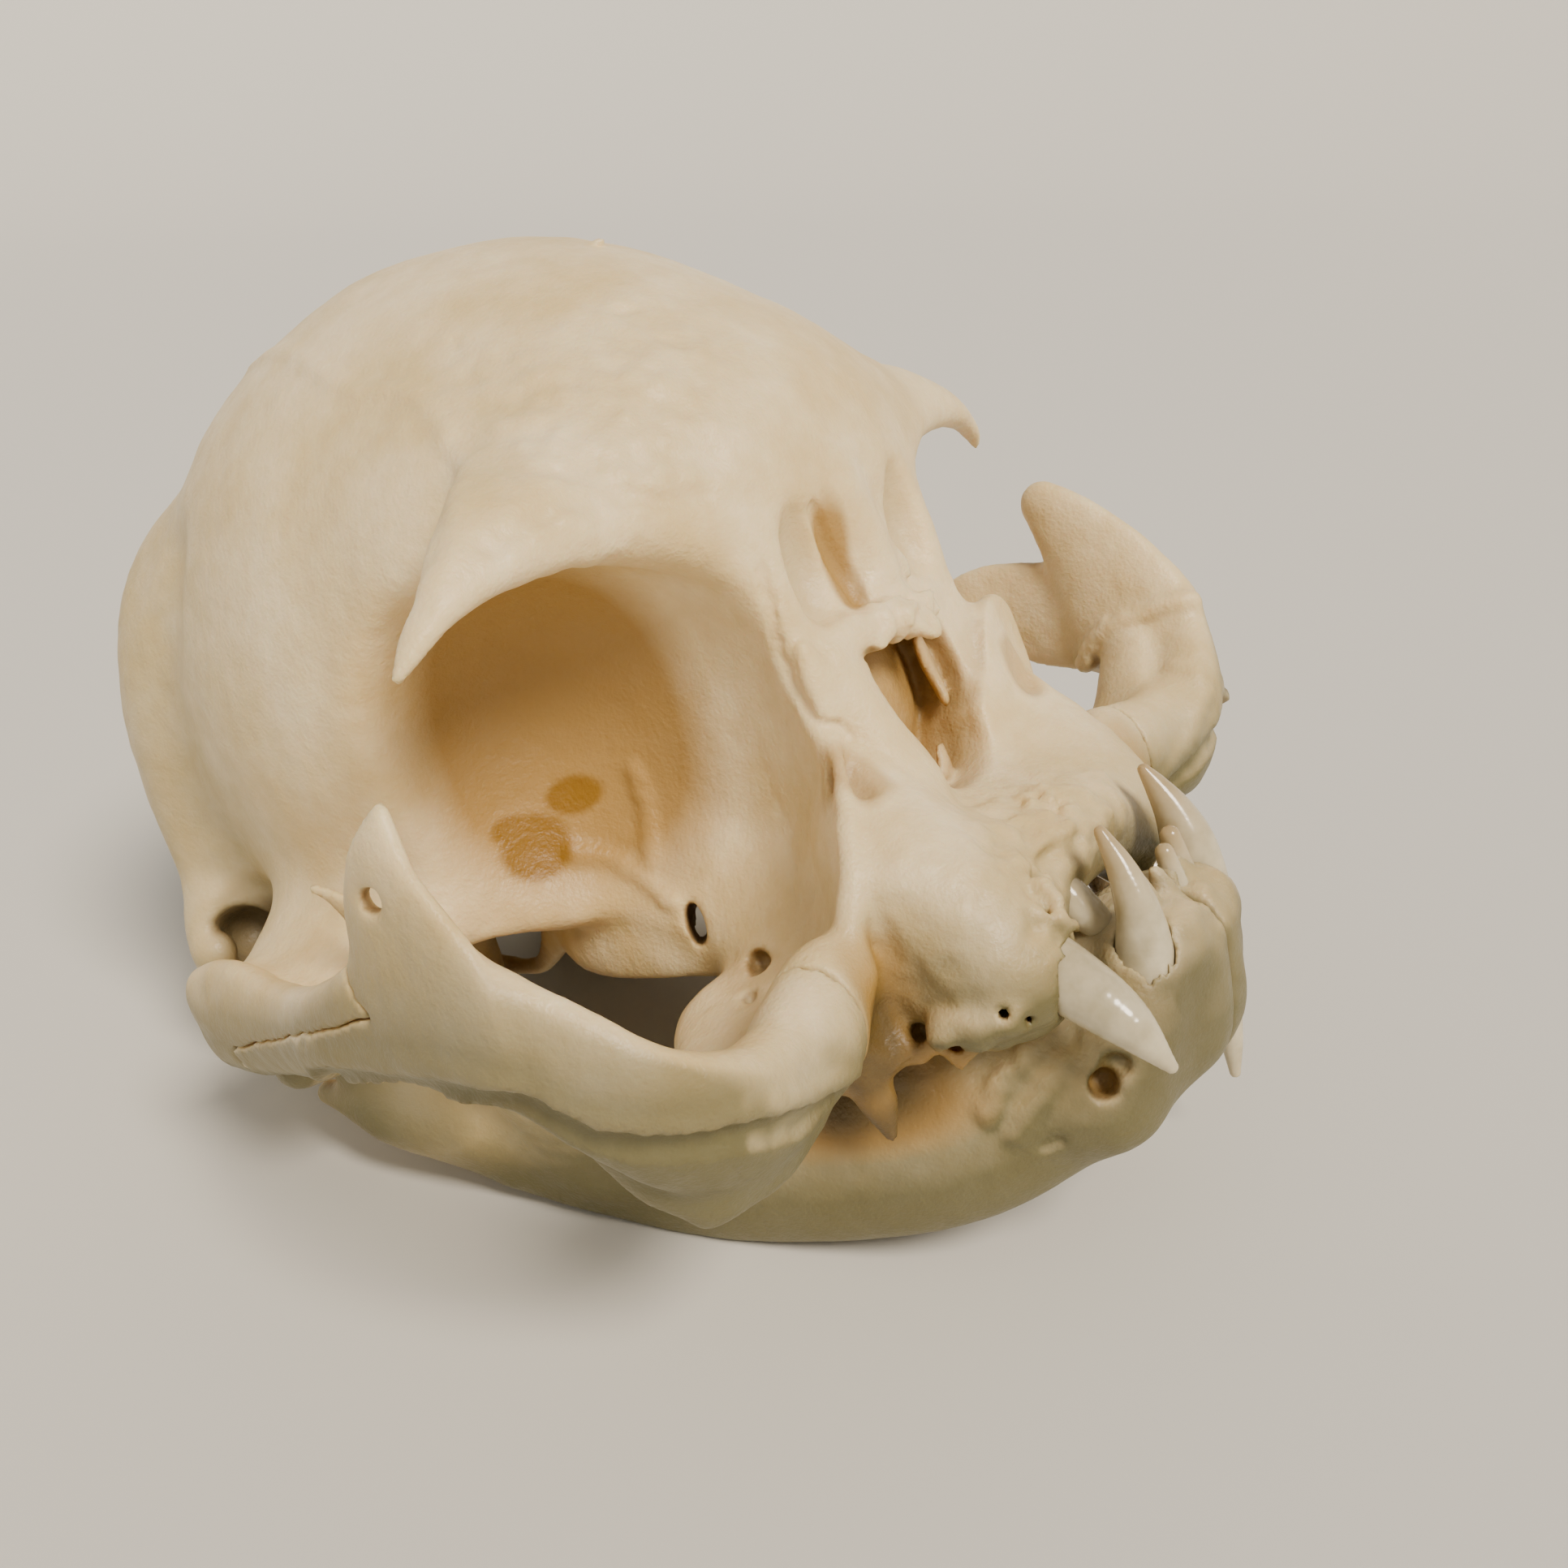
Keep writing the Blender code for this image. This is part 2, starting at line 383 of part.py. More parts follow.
def largestOnly(bm):  # drops crumbs that the cuts may leave
    left = set(bm.verts)
    bodies = []
    while left:
        reached = [left.pop()]
        body = set(reached)
        while reached:
            vert = reached.pop()
            near = {edge.other_vert(vert) for edge in vert.link_edges} - body
            body |= near
            reached += near
        left -= body
        bodies.append(body)
    bodies.sort(key=len)
    for body in bodies[:-1]:
        bmesh.ops.delete(bm, geom=list(body), context="VERTS")


def simplified(mesh, triangles):  # Decimate, applied, on the largest body of the mesh
    bm = bmesh.new()
    bm.from_mesh(mesh)
    largestOnly(bm)
    bmesh.ops.recalc_face_normals(bm, faces=bm.faces)
    bmesh.ops.triangulate(bm, faces=bm.faces)
    bm.to_mesh(mesh)
    count = len(bm.faces)
    bm.free()
    helper = bpy.data.objects.new("helper", mesh)
    parts.objects.link(helper)
    fewer = helper.modifiers.new("fewer", "DECIMATE")
    fewer.ratio = min(1, triangles / count)
    graph = bpy.context.evaluated_depsgraph_get()
    result = bpy.data.meshes.new_from_object(helper.evaluated_get(graph))
    bpy.data.objects.remove(helper)
    result.name = mesh.name
    bpy.data.meshes.remove(mesh)
    return result


def flattened(mesh, floor):  # cuts the mesh flat where it would lie on the floor
    up = Vector((0, -sin(radians(NOSE_UP)), cos(radians(NOSE_UP))))
    bm = bmesh.new()
    bm.from_mesh(mesh)
    everything = bm.verts[:] + bm.edges[:] + bm.faces[:]
    bmesh.ops.bisect_plane(bm, geom=everything, plane_co=up * floor, plane_no=up, clear_inner=True)
    rim = [edge for edge in bm.edges if edge.is_boundary]
    if rim:
        bmesh.ops.holes_fill(bm, edges=rim)
    bm.to_mesh(mesh)
    bm.free()


def material(name, color, roughness):
    made = bpy.data.materials.new(name)
    made.use_nodes = True
    shader = made.node_tree.nodes["Principled BSDF"]
    shader.inputs["Base Color"].default_value = (*color, 1)
    shader.inputs["Roughness"].default_value = roughness
    made.diffuse_color = (*color, 1)
    return made


def add(name, mesh, look):
    piece = bpy.data.objects.new(name, mesh)
    piece.data.name = name
    piece.data.materials.append(material(name, **look))
    piece.data.shade_smooth()
    piece.parent = pose
    parts.objects.link(piece)
    return piece


def heights(mesh):  # of the mesh's points above the palate's origin, once the nose is up
    points = np.array([v.co for v in mesh.vertices])
    return points @ (0, -sin(radians(NOSE_UP)), cos(radians(NOSE_UP)))


for old in list(bpy.data.objects):
    bpy.data.objects.remove(old)
parts = bpy.data.collections.new("cat skull")
bpy.context.scene.collection.children.link(parts)
pose = bpy.data.objects.new("pose", None)
pose.rotation_euler = Euler((-radians(NOSE_UP), 0, 0))
parts.objects.link(pose)

bones = skullClay()
jaw = mirrored(sculpt(halfClay(), mandible))
cheeks = {"right": (rightArch, rightSutures, True), "left": (leftArch, leftSutures, False)}
canines = {
    "upper_canine_right": (upperCanine, True), "upper_canine_left": (slippedCanine, False),
    "lower_canine_right": (lowerCanine, True), "lower_canine_left": (leftLowerCanine, False),
}
arches = []
for forms, sutures, flip in cheeks.values():
    arch = archClay(forms, sutures, VOXEL)
    arches.append(flipped(arch) if flip else arch)
    keepClear(bones, arches[-1], GAP)
for path, flip in canines.values():
    tooth = toothClay(path, VOXEL)
    tooth = flipped(tooth) if flip else tooth
    keepClear(bones, tooth, GAP)
    keepClear(jaw, tooth, GAP)
keepClear(jaw, bones, GAP)
for arch in arches:
    keepClear(jaw, arch, GAP)

meshes = {}
suture = plane(bones, **FRONT_SUTURE)
whole = bones.field
bones.field = np.maximum(whole, suture + GAP / 2).astype(np.float32)
meshes["cranium"] = simplified(meshOf(bones, "cranium"), TRIANGLES["cranium"])
bones.field = np.maximum(whole, GAP / 2 - suture).astype(np.float32)
meshes["upper_jaw"] = simplified(meshOf(bones, "upper_jaw"), TRIANGLES["upper_jaw"])
for side, (forms, sutures, flip) in cheeks.items():
    name = "cheekbone_" + side
    arch = archClay(forms, sutures, FINE_VOXEL)
    arch = flipped(arch) if flip else arch
    meshes[name] = simplified(meshOf(arch, name), TRIANGLES["cheek"])
across = jaw.axes[0][:, None, None]
whole = jaw.field
for side, sign in (("right", -1), ("left", 1)):
    name = "lower_jaw_" + side
    jaw.field = np.maximum(whole, GAP / 2 - sign * across).astype(np.float32)
    meshes[name] = simplified(meshOf(jaw, name), TRIANGLES["mandible"])
for name, (path, flip) in canines.items():
    tooth = toothClay(path, FINE_VOXEL)
    tooth = flipped(tooth) if flip else tooth
    meshes[name] = simplified(meshOf(tooth, name), TRIANGLES["canine"])

lowest = {name: heights(mesh).min() for name, mesh in meshes.items()}
floor = min(lowest.values()) + FLAT_DEPTH * MM
for name, mesh in meshes.items():
    flattened(mesh, floor)
    add(name, mesh, ENAMEL if "canine" in name else BONE)

bpy.context.view_layer.update()
points = np.vstack([[piece.matrix_world @ v.co for v in piece.data.vertices] for piece in pose.children])
low = points.min(0)
high = points.max(0)
pose.location = Vector((-(low[0] + high[0]) / 2, -(low[1] + high[1]) / 2, -low[2]))
print("lowest, mm:", {name: round(value / MM, 2) for name, value in lowest.items()})
print("pose, mm:", [round(value / MM, 3) for value in pose.location])
print("triangles:", sum(len(p.vertices) - 2 for piece in pose.children for p in piece.data.polygons))
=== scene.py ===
from math import cos, radians, sin

import bpy
import numpy as np
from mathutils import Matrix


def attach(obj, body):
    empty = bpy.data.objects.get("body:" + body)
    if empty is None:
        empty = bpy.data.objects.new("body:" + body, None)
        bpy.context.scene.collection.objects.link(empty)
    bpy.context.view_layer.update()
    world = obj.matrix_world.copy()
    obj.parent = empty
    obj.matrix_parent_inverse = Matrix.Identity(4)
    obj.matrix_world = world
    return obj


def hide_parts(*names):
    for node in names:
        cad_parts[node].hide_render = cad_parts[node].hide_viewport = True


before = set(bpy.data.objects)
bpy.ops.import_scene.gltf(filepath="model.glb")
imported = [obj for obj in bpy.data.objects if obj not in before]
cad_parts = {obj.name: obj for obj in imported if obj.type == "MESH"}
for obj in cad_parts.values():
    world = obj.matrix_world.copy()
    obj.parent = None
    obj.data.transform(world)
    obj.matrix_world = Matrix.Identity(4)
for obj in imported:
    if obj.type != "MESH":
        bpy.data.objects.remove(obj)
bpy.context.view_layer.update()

import openvdb
from mathutils import Matrix, Vector

mm = 0.001
noseUp = radians(16.6)  # the palate's tilt when the skull lies on its jaw and ear bullae
palateAt = (0.302, -5.375, 14.133)  # mm, the palate's own origin, once it lies there
voxel = 0.3  # mm, the grid that the bones are modelled on
toothVoxel = 0.15
seam = 0.05  # mm, left between neighbouring bones
far = 9.0  # mm, a distance that counts as well outside

# The bones are modelled in mm in the palate's frame: +X the skull's left, -Y the muzzle, +Z up.


def smoothPath(points, steps):  # a smooth curve through rows of numbers
    rows = np.array(points, float)
    rows = np.vstack([2 * rows[0] - rows[1], rows, 2 * rows[-1] - rows[-2]])
    curve = []
    for i in range(1, len(rows) - 2):
        a, b, c, d = rows[i - 1:i + 3]
        for t in np.arange(steps) / steps:
            bend = (2 * a - 5 * b + 4 * c - d) * t ** 2 + (3 * b - a - 3 * c + d) * t ** 3
            curve.append(b + 0.5 * ((c - a) * t + bend))
    curve.append(rows[-2])
    return np.array(curve)


def turned(q, turn):  # q in the axes of a form that is turned by degrees about x, then y, then z
    x, y, z = q
    for axis, angle in zip("zyx", reversed(turn)):
        c = np.cos(np.radians(angle))
        s = np.sin(np.radians(angle))
        if axis == "x":
            y, z = c * y + s * z, c * z - s * y
        elif axis == "y":
            z, x = c * z + s * x, c * x - s * z
        else:
            x, y = c * x + s * y, c * y - s * x
    return x, y, z


def rounded(parts, radii, power=2):  # roughly the distance to a ball stretched to these radii
    terms = [np.abs(part) / radius for part, radius in zip(parts, radii)]
    k = sum(term ** power for term in terms) ** (1 / power) + 1e-6
    slope = np.sqrt(sum((term ** (power - 1) / radius) ** 2 for term, radius in zip(terms, radii)))
    return (k - 1) * k ** (power - 1) / (slope + 1e-6)


class Clay:  # a block of distances to a surface, on a grid, in mm; negative is inside
    def __init__(self, low, high, voxel):
        self.voxel = voxel
        self.low = np.round(np.array(low, float) / voxel) * voxel
        counts = np.round((np.array(high) - self.low) / voxel).astype(int) + 1
        self.axes = [self.low[i] + voxel * np.arange(counts[i]) for i in range(3)]
        self.field = np.full(counts, far, np.float32)

    def window(self, low, high):  # the part of the grid that a form can change
        cuts = []
        sides = []
        for axis, a, b in zip(self.axes, low, high):
            start, end = np.searchsorted(axis, (a, b))
            cuts.append(slice(start, end))
            sides.append(axis[start:end].astype(np.float32))
        x, y, z = sides
        return tuple(cuts), (x[:, None, None], y[None, :, None], z[None, None, :])

    def blend(self, cuts, d, soft, cut):  # joins a form on, or cuts it away, over a soft edge
        old = self.field[cuts]
        if cut:
            h = np.maximum(soft - np.abs(old + d), 0)
            self.field[cuts] = np.maximum(old, -d) + h * h / (4 * soft)
        else:
            h = np.maximum(soft - np.abs(old - d), 0)
            self.field[cuts] = np.minimum(old, d) - h * h / (4 * soft)

    def ball(self, at, radii, soft=1, turn=None, cut=False, power=2):
        reach = np.array(radii) if turn is None else np.full(3, max(radii))
        pad = reach + soft + 2 * self.voxel + 1
        cuts, xyz = self.window(at - pad, at + pad)
        q = [xyz[i] - at[i] for i in range(3)]
        if turn is not None:
            q = turned(q, turn)
        self.blend(cuts, rounded(q, radii, power), soft, cut)

    def rod(self, points, soft=1, cut=False, steps=4):  # points are x, y, z, radius
        p = smoothPath(points, steps)
        pad = soft + 2 * self.voxel + 1 + p[:, 3].max()
        cuts, (x, y, z) = self.window(p[:, :3].min(0) - pad, p[:, :3].max(0) + pad)
        best = far
        for a, b in zip(p[:-1], p[1:]):
            e = b[:3] - a[:3]
            t = ((x - a[0]) * e[0] + (y - a[1]) * e[1] + (z - a[2]) * e[2]) / (e @ e + 1e-9)
            t = np.clip(t, 0, 1)
            away = [q - a[i] - t * e[i] for i, q in enumerate((x, y, z))]
            d = np.sqrt(sum(q ** 2 for q in away)) - a[3] - t * (b[3] - a[3])
            best = np.minimum(best, d)
        self.blend(cuts, best, soft, cut)

    def blade(self, points, soft=1, cut=False, steps=6, power=2):
        # points are x, y, z, half width, half thickness and the way that the flat side faces
        p = smoothPath(points, steps)
        p[:, 3:5] = np.maximum(p[:, 3:5], 0.15)
        p[:, 5:] /= np.linalg.norm(p[:, 5:], axis=1)[:, None]
        pad = soft + 2 * self.voxel + 1 + p[:, 3:5].max()
        cuts, (x, y, z) = self.window(p[:, :3].min(0) - pad, p[:, :3].max(0) + pad)
        best = far
        for a, b in zip(p[:-1], p[1:]):
            e = b - a
            t = ((x - a[0]) * e[0] + (y - a[1]) * e[1] + (z - a[2]) * e[2]) / (e[:3] @ e[:3] + 1e-9)
            t = np.clip(t, 0, 1)
            away = [q - a[i] - t * e[i] for i, q in enumerate((x, y, z))]
            across = sum(q * (a[5 + i] + t * e[5 + i]) for i, q in enumerate(away))
            along = np.sqrt(np.maximum(sum(q ** 2 for q in away) - across ** 2, 0))
            d = rounded((across, along), (a[4] + t * e[4], a[3] + t * e[3]), power)
            best = np.minimum(best, d)
        self.blend(cuts, best, soft, cut)

    def slab(self, at, normal, soft=1):  # cuts away what lies beyond a plane
        n = np.array(normal) / np.linalg.norm(normal)
        cuts, xyz = self.window(self.low - 1, [axis[-1] + 1 for axis in self.axes])
        self.blend(cuts, -sum((xyz[i] - at[i]) * n[i] for i in range(3)), soft, True)


def sculpt(clay, forms):  # each form is named; its first word is the tool and the place
    for form in forms.values():
        settings = dict(form)
        tool = next(iter(form))
        getattr(clay, tool)(settings.pop(tool), **settings)
    return clay


def mirrored(clay):  # the half at x >= 0 with its mirror image
    whole = Clay((0, 0, 0), (1, 1, 1), clay.voxel)
    keep = clay.axes[0] > -clay.voxel / 2
    half = clay.field[keep]
    across = clay.axes[0][keep]
    whole.axes = [np.concatenate([-across[:0:-1], across])] + clay.axes[1:]
    whole.low = np.array([axis[0] for axis in whole.axes])
    whole.field = np.concatenate([half[:0:-1], half])
    return whole


def flipped(clay):  # the same form on the other side of the head
    other = Clay((0, 0, 0), (1, 1, 1), clay.voxel)
    other.axes = [-clay.axes[0][::-1]] + clay.axes[1:]
    other.low = np.array([axis[0] for axis in other.axes])
    other.field = clay.field[::-1]
    return other


def sampled(clay, points):  # the distance at free points
    place = (points - clay.low) / clay.voxel
    place = np.clip(place, 0, np.array(clay.field.shape) - 1.001)
    k = place.astype(int)
    t = place - k
    total = 0
    for corner in np.ndindex(2, 2, 2):
        weight = np.prod(np.where(corner, t, 1 - t), axis=1)
        total = total + weight * clay.field[tuple((k + corner).T)]
    return total


def slope(clay, points, step=0.4):  # the way out of the surface
    ways = [sampled(clay, points + step * axis) - sampled(clay, points - step * axis) for axis in np.eye(3)]
    ways = np.stack(ways, axis=1)
    return ways / (np.linalg.norm(ways, axis=1)[:, None] + 1e-6)


def draped(clay, points, radius, sink=0.0, wander=0.0, seed=1):  # a path laid on the surface
    p = smoothPath(points, 8)
    p = p + np.random.default_rng(seed).normal(0, wander + 1e-9, p.shape)
    for _ in range(10):  # each step brings the path closer to the surface
        p = p - sampled(clay, p)[:, None] * slope(clay, p)
    p = p - sink * slope(clay, p)
    return np.column_stack([p, np.full(len(p), radius)])


def score(clay, points, width, depth, wander=0.1, seed=1):  # a fine groove, or a low ridge if depth < 0
    sink = width + depth if depth < 0 else depth - width
    path = draped(clay, points, width, sink=sink, wander=wander, seed=seed)
    clay.rod(path, soft=0.5 if depth < 0 else 0.15, cut=depth > 0, steps=1)


def softened(clay):  # evens out the ribs between the stretches of a form
    for axis in range(3):
        rows = np.moveaxis(clay.field, axis, 0)
        rows[1:-1] = 0.5 * rows[1:-1] + 0.25 * (rows[:-2] + rows[2:])


def noiseOn(axes, grain, seed):  # smooth random heights, from -1 to 1, about a grain apart
    rng = np.random.default_rng(seed)
    heights = rng.uniform(-1, 1, [int((a[-1] - a[0]) / grain) + 3 for a in axes]).astype(np.float32)
    for i, axis in enumerate(axes):
        place = (axis - axis[0]) / grain
        k = place.astype(int)
        t = (place - k).astype(np.float32)[:, None, None]
        t = t * t * (3 - 2 * t)
        heights = np.moveaxis(heights, i, 0)
        heights = heights[k] * (1 - t) + heights[k + 1] * t
        heights = np.moveaxis(heights, 0, i)
    return heights


def near(clay, at, radii):  # 1 in the middle of a ball of influence, 0 outside it
    q = [((axis - c) / r) ** 2 for axis, c, r in zip(clay.axes, at, radii)]
    away = q[0][:, None, None] + q[1][None, :, None] + q[2][None, None, :]
    return np.clip(1.5 - 1.5 * np.sqrt(away), 0, 1).astype(np.float32)


def roughen(clay, grain, height, seed, at=None, radii=None):
    bumps = height * noiseOn(clay.axes, grain, seed)
    clay.field += bumps if at is None else bumps * near(clay, at, radii)


def beyond(clay, at, normal):  # distance past a plane, on the clay's own grid
    n = np.array(normal) / np.linalg.norm(normal)
    x, y, z = clay.axes
    return ((x - at[0]) * n[0])[:, None, None] + ((y - at[1]) * n[1])[:, None] + (z - at[2]) * n[2]


def shared(clay, other):  # where two blocks on one grid overlap, in each of them
    start = np.round((other.low - clay.low) / clay.voxel).astype(int)
    first = np.maximum(start, 0)
    last = np.maximum(np.minimum(start + other.field.shape, clay.field.shape), first)
    mine = tuple(slice(a, b) for a, b in zip(first, last))
    theirs = tuple(slice(a, b) for a, b in zip(first - start, last - start))
    return mine, theirs


def keepClear(clay, other, gap):  # carves a gap round a neighbour
    mine, theirs = shared(clay, other)
    clay.field[mine] = np.maximum(clay.field[mine], gap - other.field[theirs])


def parted(clay, other, inside, gap, soft=2):  # one smooth surface, split where inside is nought
    mine, theirs = shared(clay, other)
    a = clay.field[mine]
    b = other.field[theirs]
    h = np.maximum(soft - np.abs(a - b), 0)
    both = np.minimum(a, b) - h * h / (4 * soft)
    clay.field[mine] = np.maximum(both, gap / 2 + inside[theirs])
    other.field[theirs] = np.maximum(both, gap / 2 - inside[theirs])


def lying(points):  # from the palate's frame to the skull at rest, still in mm
    x, y, z = np.array(points).T
    c = cos(noseUp)
    s = sin(noseUp)
    return np.column_stack([x, y * c + z * s, z * c - y * s]) + palateAt


def largestBody(count, faces):  # which corners belong to the biggest connected body
    label = np.arange(count)
    a = faces.ravel()
    b = np.roll(faces, 1, axis=1).ravel()
    while True:
        low = np.minimum(label[a], label[b])
        before = label.copy()
        np.minimum.at(label, before[a], low)
        np.minimum.at(label, before[b], low)
        label = label[label]
        if (label == before).all():
            break
    label = label[label]
    return label == np.bincount(label).argmax()


def meshOf(clay, name):  # the surface where the distance is nought
    field = np.pad(clay.field, 1, constant_values=far)
    grid = openvdb.FloatGrid(far)
    grid.copyFromArray(field)
    points, triangles, quads = grid.convertToPolygons()
    faces = np.concatenate([np.column_stack([triangles, triangles[:, 2]]), quads]).astype(np.int64)
    keep = largestBody(len(points), faces)
    faces = faces[keep[faces[:, 0]]]
    points = (points[keep] - 1) * clay.voxel + clay.low
    placed = lying(points)
    placed[:, 2] = np.maximum(placed[:, 2], 0)
    faces = (np.cumsum(keep) - 1)[faces]
    isTriangle = faces[:, 2] == faces[:, 3]
    loops = faces.ravel()[~np.column_stack([np.zeros((len(faces), 3), bool), isTriangle]).ravel()]
    sizes = np.where(isTriangle, 3, 4)
    mesh = bpy.data.meshes.new(name)
    mesh.vertices.add(len(points))
    mesh.vertices.foreach_set("co", (placed * mm).astype(np.float32).ravel())
    mesh.loops.add(len(loops))
    mesh.loops.foreach_set("vertex_index", loops.astype(np.int32))
    mesh.polygons.add(len(faces))
    mesh.polygons.foreach_set("loop_start", (np.cumsum(sizes) - sizes).astype(np.int32))
    mesh.update(calc_edges=True)
    mesh.validate()
    mesh.shade_smooth()
    return mesh, points


block = dict(low=(0, -44, -22), high=(42, 50, 54))  # the half at x >= 0 is modelled and mirrored
cheekBlock = dict(low=(10, -44, -22), high=(42, 50, 54))
toothBlock = dict(low=(-7, -38, -5), high=(6, -25, 8))

braincase = dict(
    brain=dict(ball=(0, 11.7, 23), radii=(22.6, 28.1, 27.1)),
    forehead=dict(ball=(0, 2, 27.4), radii=(20, 20.5, 20), soft=7),
    temple=dict(ball=(8, -4.5, 29), radii=(13.5, 11, 11.5), power=2.4, soft=5),
    nape=dict(ball=(0, 29, 22.5), radii=(17.5, 12, 17.5), soft=6),
    underside=dict(slab=(0, 20, 5), normal=(0, 0.05, -1), soft=5),
    nuchalCrest=dict(rod=[(0, 36.4, 35.5, 1.6), (7, 34.9, 35.5, 1.8), (12, 33, 33, 2), (15.2, 33, 27.5, 1.9),
                          (16.8, 33.8, 19, 1.7), (17.6, 33.6, 9, 2)], soft=7),
    nuchalGroove=dict(rod=[(18.4, 24.2, 36, 1), (20.8, 27.2, 29, 1.1), (21.6, 28.6, 21, 1.1),
                           (21.2, 29, 14, 1)], soft=3.8, cut=True),
    mastoid=dict(ball=(18.6, 33, 6), radii=(2.6, 3, 4.6), soft=3),
    septum=dict(blade=[(0, -8, 14, 11, 8.8, 1, 0, 0), (0, 2, 14, 11, 7.6, 1, 0, 0),
                       (0, 10, 13, 10, 8, 1, 0, 0)], soft=5),
    browRidge=dict(ball=(0, -10.5, 31), radii=(16, 8.7, 7), soft=5),
    bulla=dict(ball=(12.5, 24, 0.4), radii=(6.8, 10.5, 7.75), soft=2),
    condyle=dict(ball=(6.5, 39, 4.5), radii=(3.5, 4.5, 5), soft=2),
    foramenMagnum=dict(ball=(0, 42, 8.5), radii=(6.5, 9, 6), soft=1.5, cut=True),
    paroccipital=dict(rod=[(15.5, 35, 6, 2.2), (14.8, 34.6, 1, 1.8), (14.2, 33.8, -2.4, 1)], soft=2),
    baseBar=dict(rod=[(0, 38, 6, 4), (0, 20, 6.5, 4), (0, 2, 6.5, 4.5), (0, -8, 6, 4)], soft=3),
    cheekRoot=dict(blade=[(13, 16, 9, 8.5, 3.8, 0, -0.1, 1), (18, 15, 8.6, 8.5, 3, 0.1, -0.1, 1),
                          (22, 14.2, 7.8, 8, 2, 0.2, 0, 1)], soft=5),
    earHole=dict(ball=(21.8, 27.6, 8), radii=(5, 4.3, 3.7), soft=1.6, cut=True),
)

face = dict(
    plate=dict(ball=(0, -13.5, 20.5), radii=(10.4, 7, 13.5), power=4, soft=1),
    cheeks=dict(ball=(0, -11.5, 9), radii=(13.5, 11, 8), power=3, soft=3),
    orbitMargin=dict(rod=[(9.6, -16.6, 27.5, 1.1), (9.4, -17.6, 22.5, 1.2), (10, -18.3, 17.8, 1.2),
                          (11.2, -19.8, 14.5, 1.3), (12.4, -20.6, 11.7, 1.6), (15, -20.9, 7, 2.2),
                          (17.6, -20.9, 4.8, 2.6)], soft=3),
    orbitFloor=dict(ball=(15.4, -15.2, -0.5), radii=(6.3, 7.2, 3.2), soft=3),
    canineJut=dict(rod=[(8, -17, 8, 4.5), (11.3, -22.6, 5, 5), (11, -26.4, 2, 4.2),
                        (10.8, -29.2, 0.5, 2.9)], soft=4),
    alveolus=dict(rod=[(11, -27.8, 0.5, 2.4), (14.5, -23.2, -0.5, 2.9), (17, -18, -1, 2.6),
                       (17, -13.6, -0.4, 2.3), (15.8, -11.2, 0.6, 1.5)], soft=3),
    premaxilla=dict(ball=(0, -24.2, 4), radii=(11, 5.8, 4), power=2.5, soft=3.5),
    incisorBar=dict(rod=[(0, -29.5, 5, 1.5), (3.6, -29.3, 4.1, 1.7), (7, -28.3, 2.7, 2.1)], soft=2.5),
    palate=dict(ball=(0, -16, 2.8), radii=(13, 13, 2.8), soft=3),
    cheekStub=dict(rod=[(15, -19.6, 4, 4), (20, -22, 3, 3.4), (23, -23, 2.6, 3)], soft=3),
    nasals=dict(rod=[(0, -15, 28, 3), (0, -16.6, 24, 2.6), (0, -18.2, 19.6, 2.7)], soft=3),
)

hollows = dict(  # cut once all the bone of the head is there
    orbit=dict(ball=(24.5, -9.5, 15.8), radii=(16.2, 14.6, 15), power=2.6, soft=2, cut=True),
    tearHollow=dict(ball=(16.8, -17.8, 8.2), radii=(3.6, 5, 4.6), soft=3, cut=True),
    jawGap=dict(ball=(13.5, 8.5, 3), radii=(6.5, 5, 5.2), soft=1.5, cut=True),
    stop=dict(ball=(0, -23, 24.6), radii=(7, 3.9, 5), soft=2.5, cut=True),
    nasalCavity=dict(ball=(0, -17, 15.3), radii=(6.6, 8.5, 4.3), power=2.8, soft=0.6, cut=True),
    nasalFloor=dict(ball=(0, -18, 12), radii=(5.1, 8.4, 4.2), power=2.2, soft=0.6, cut=True),
)

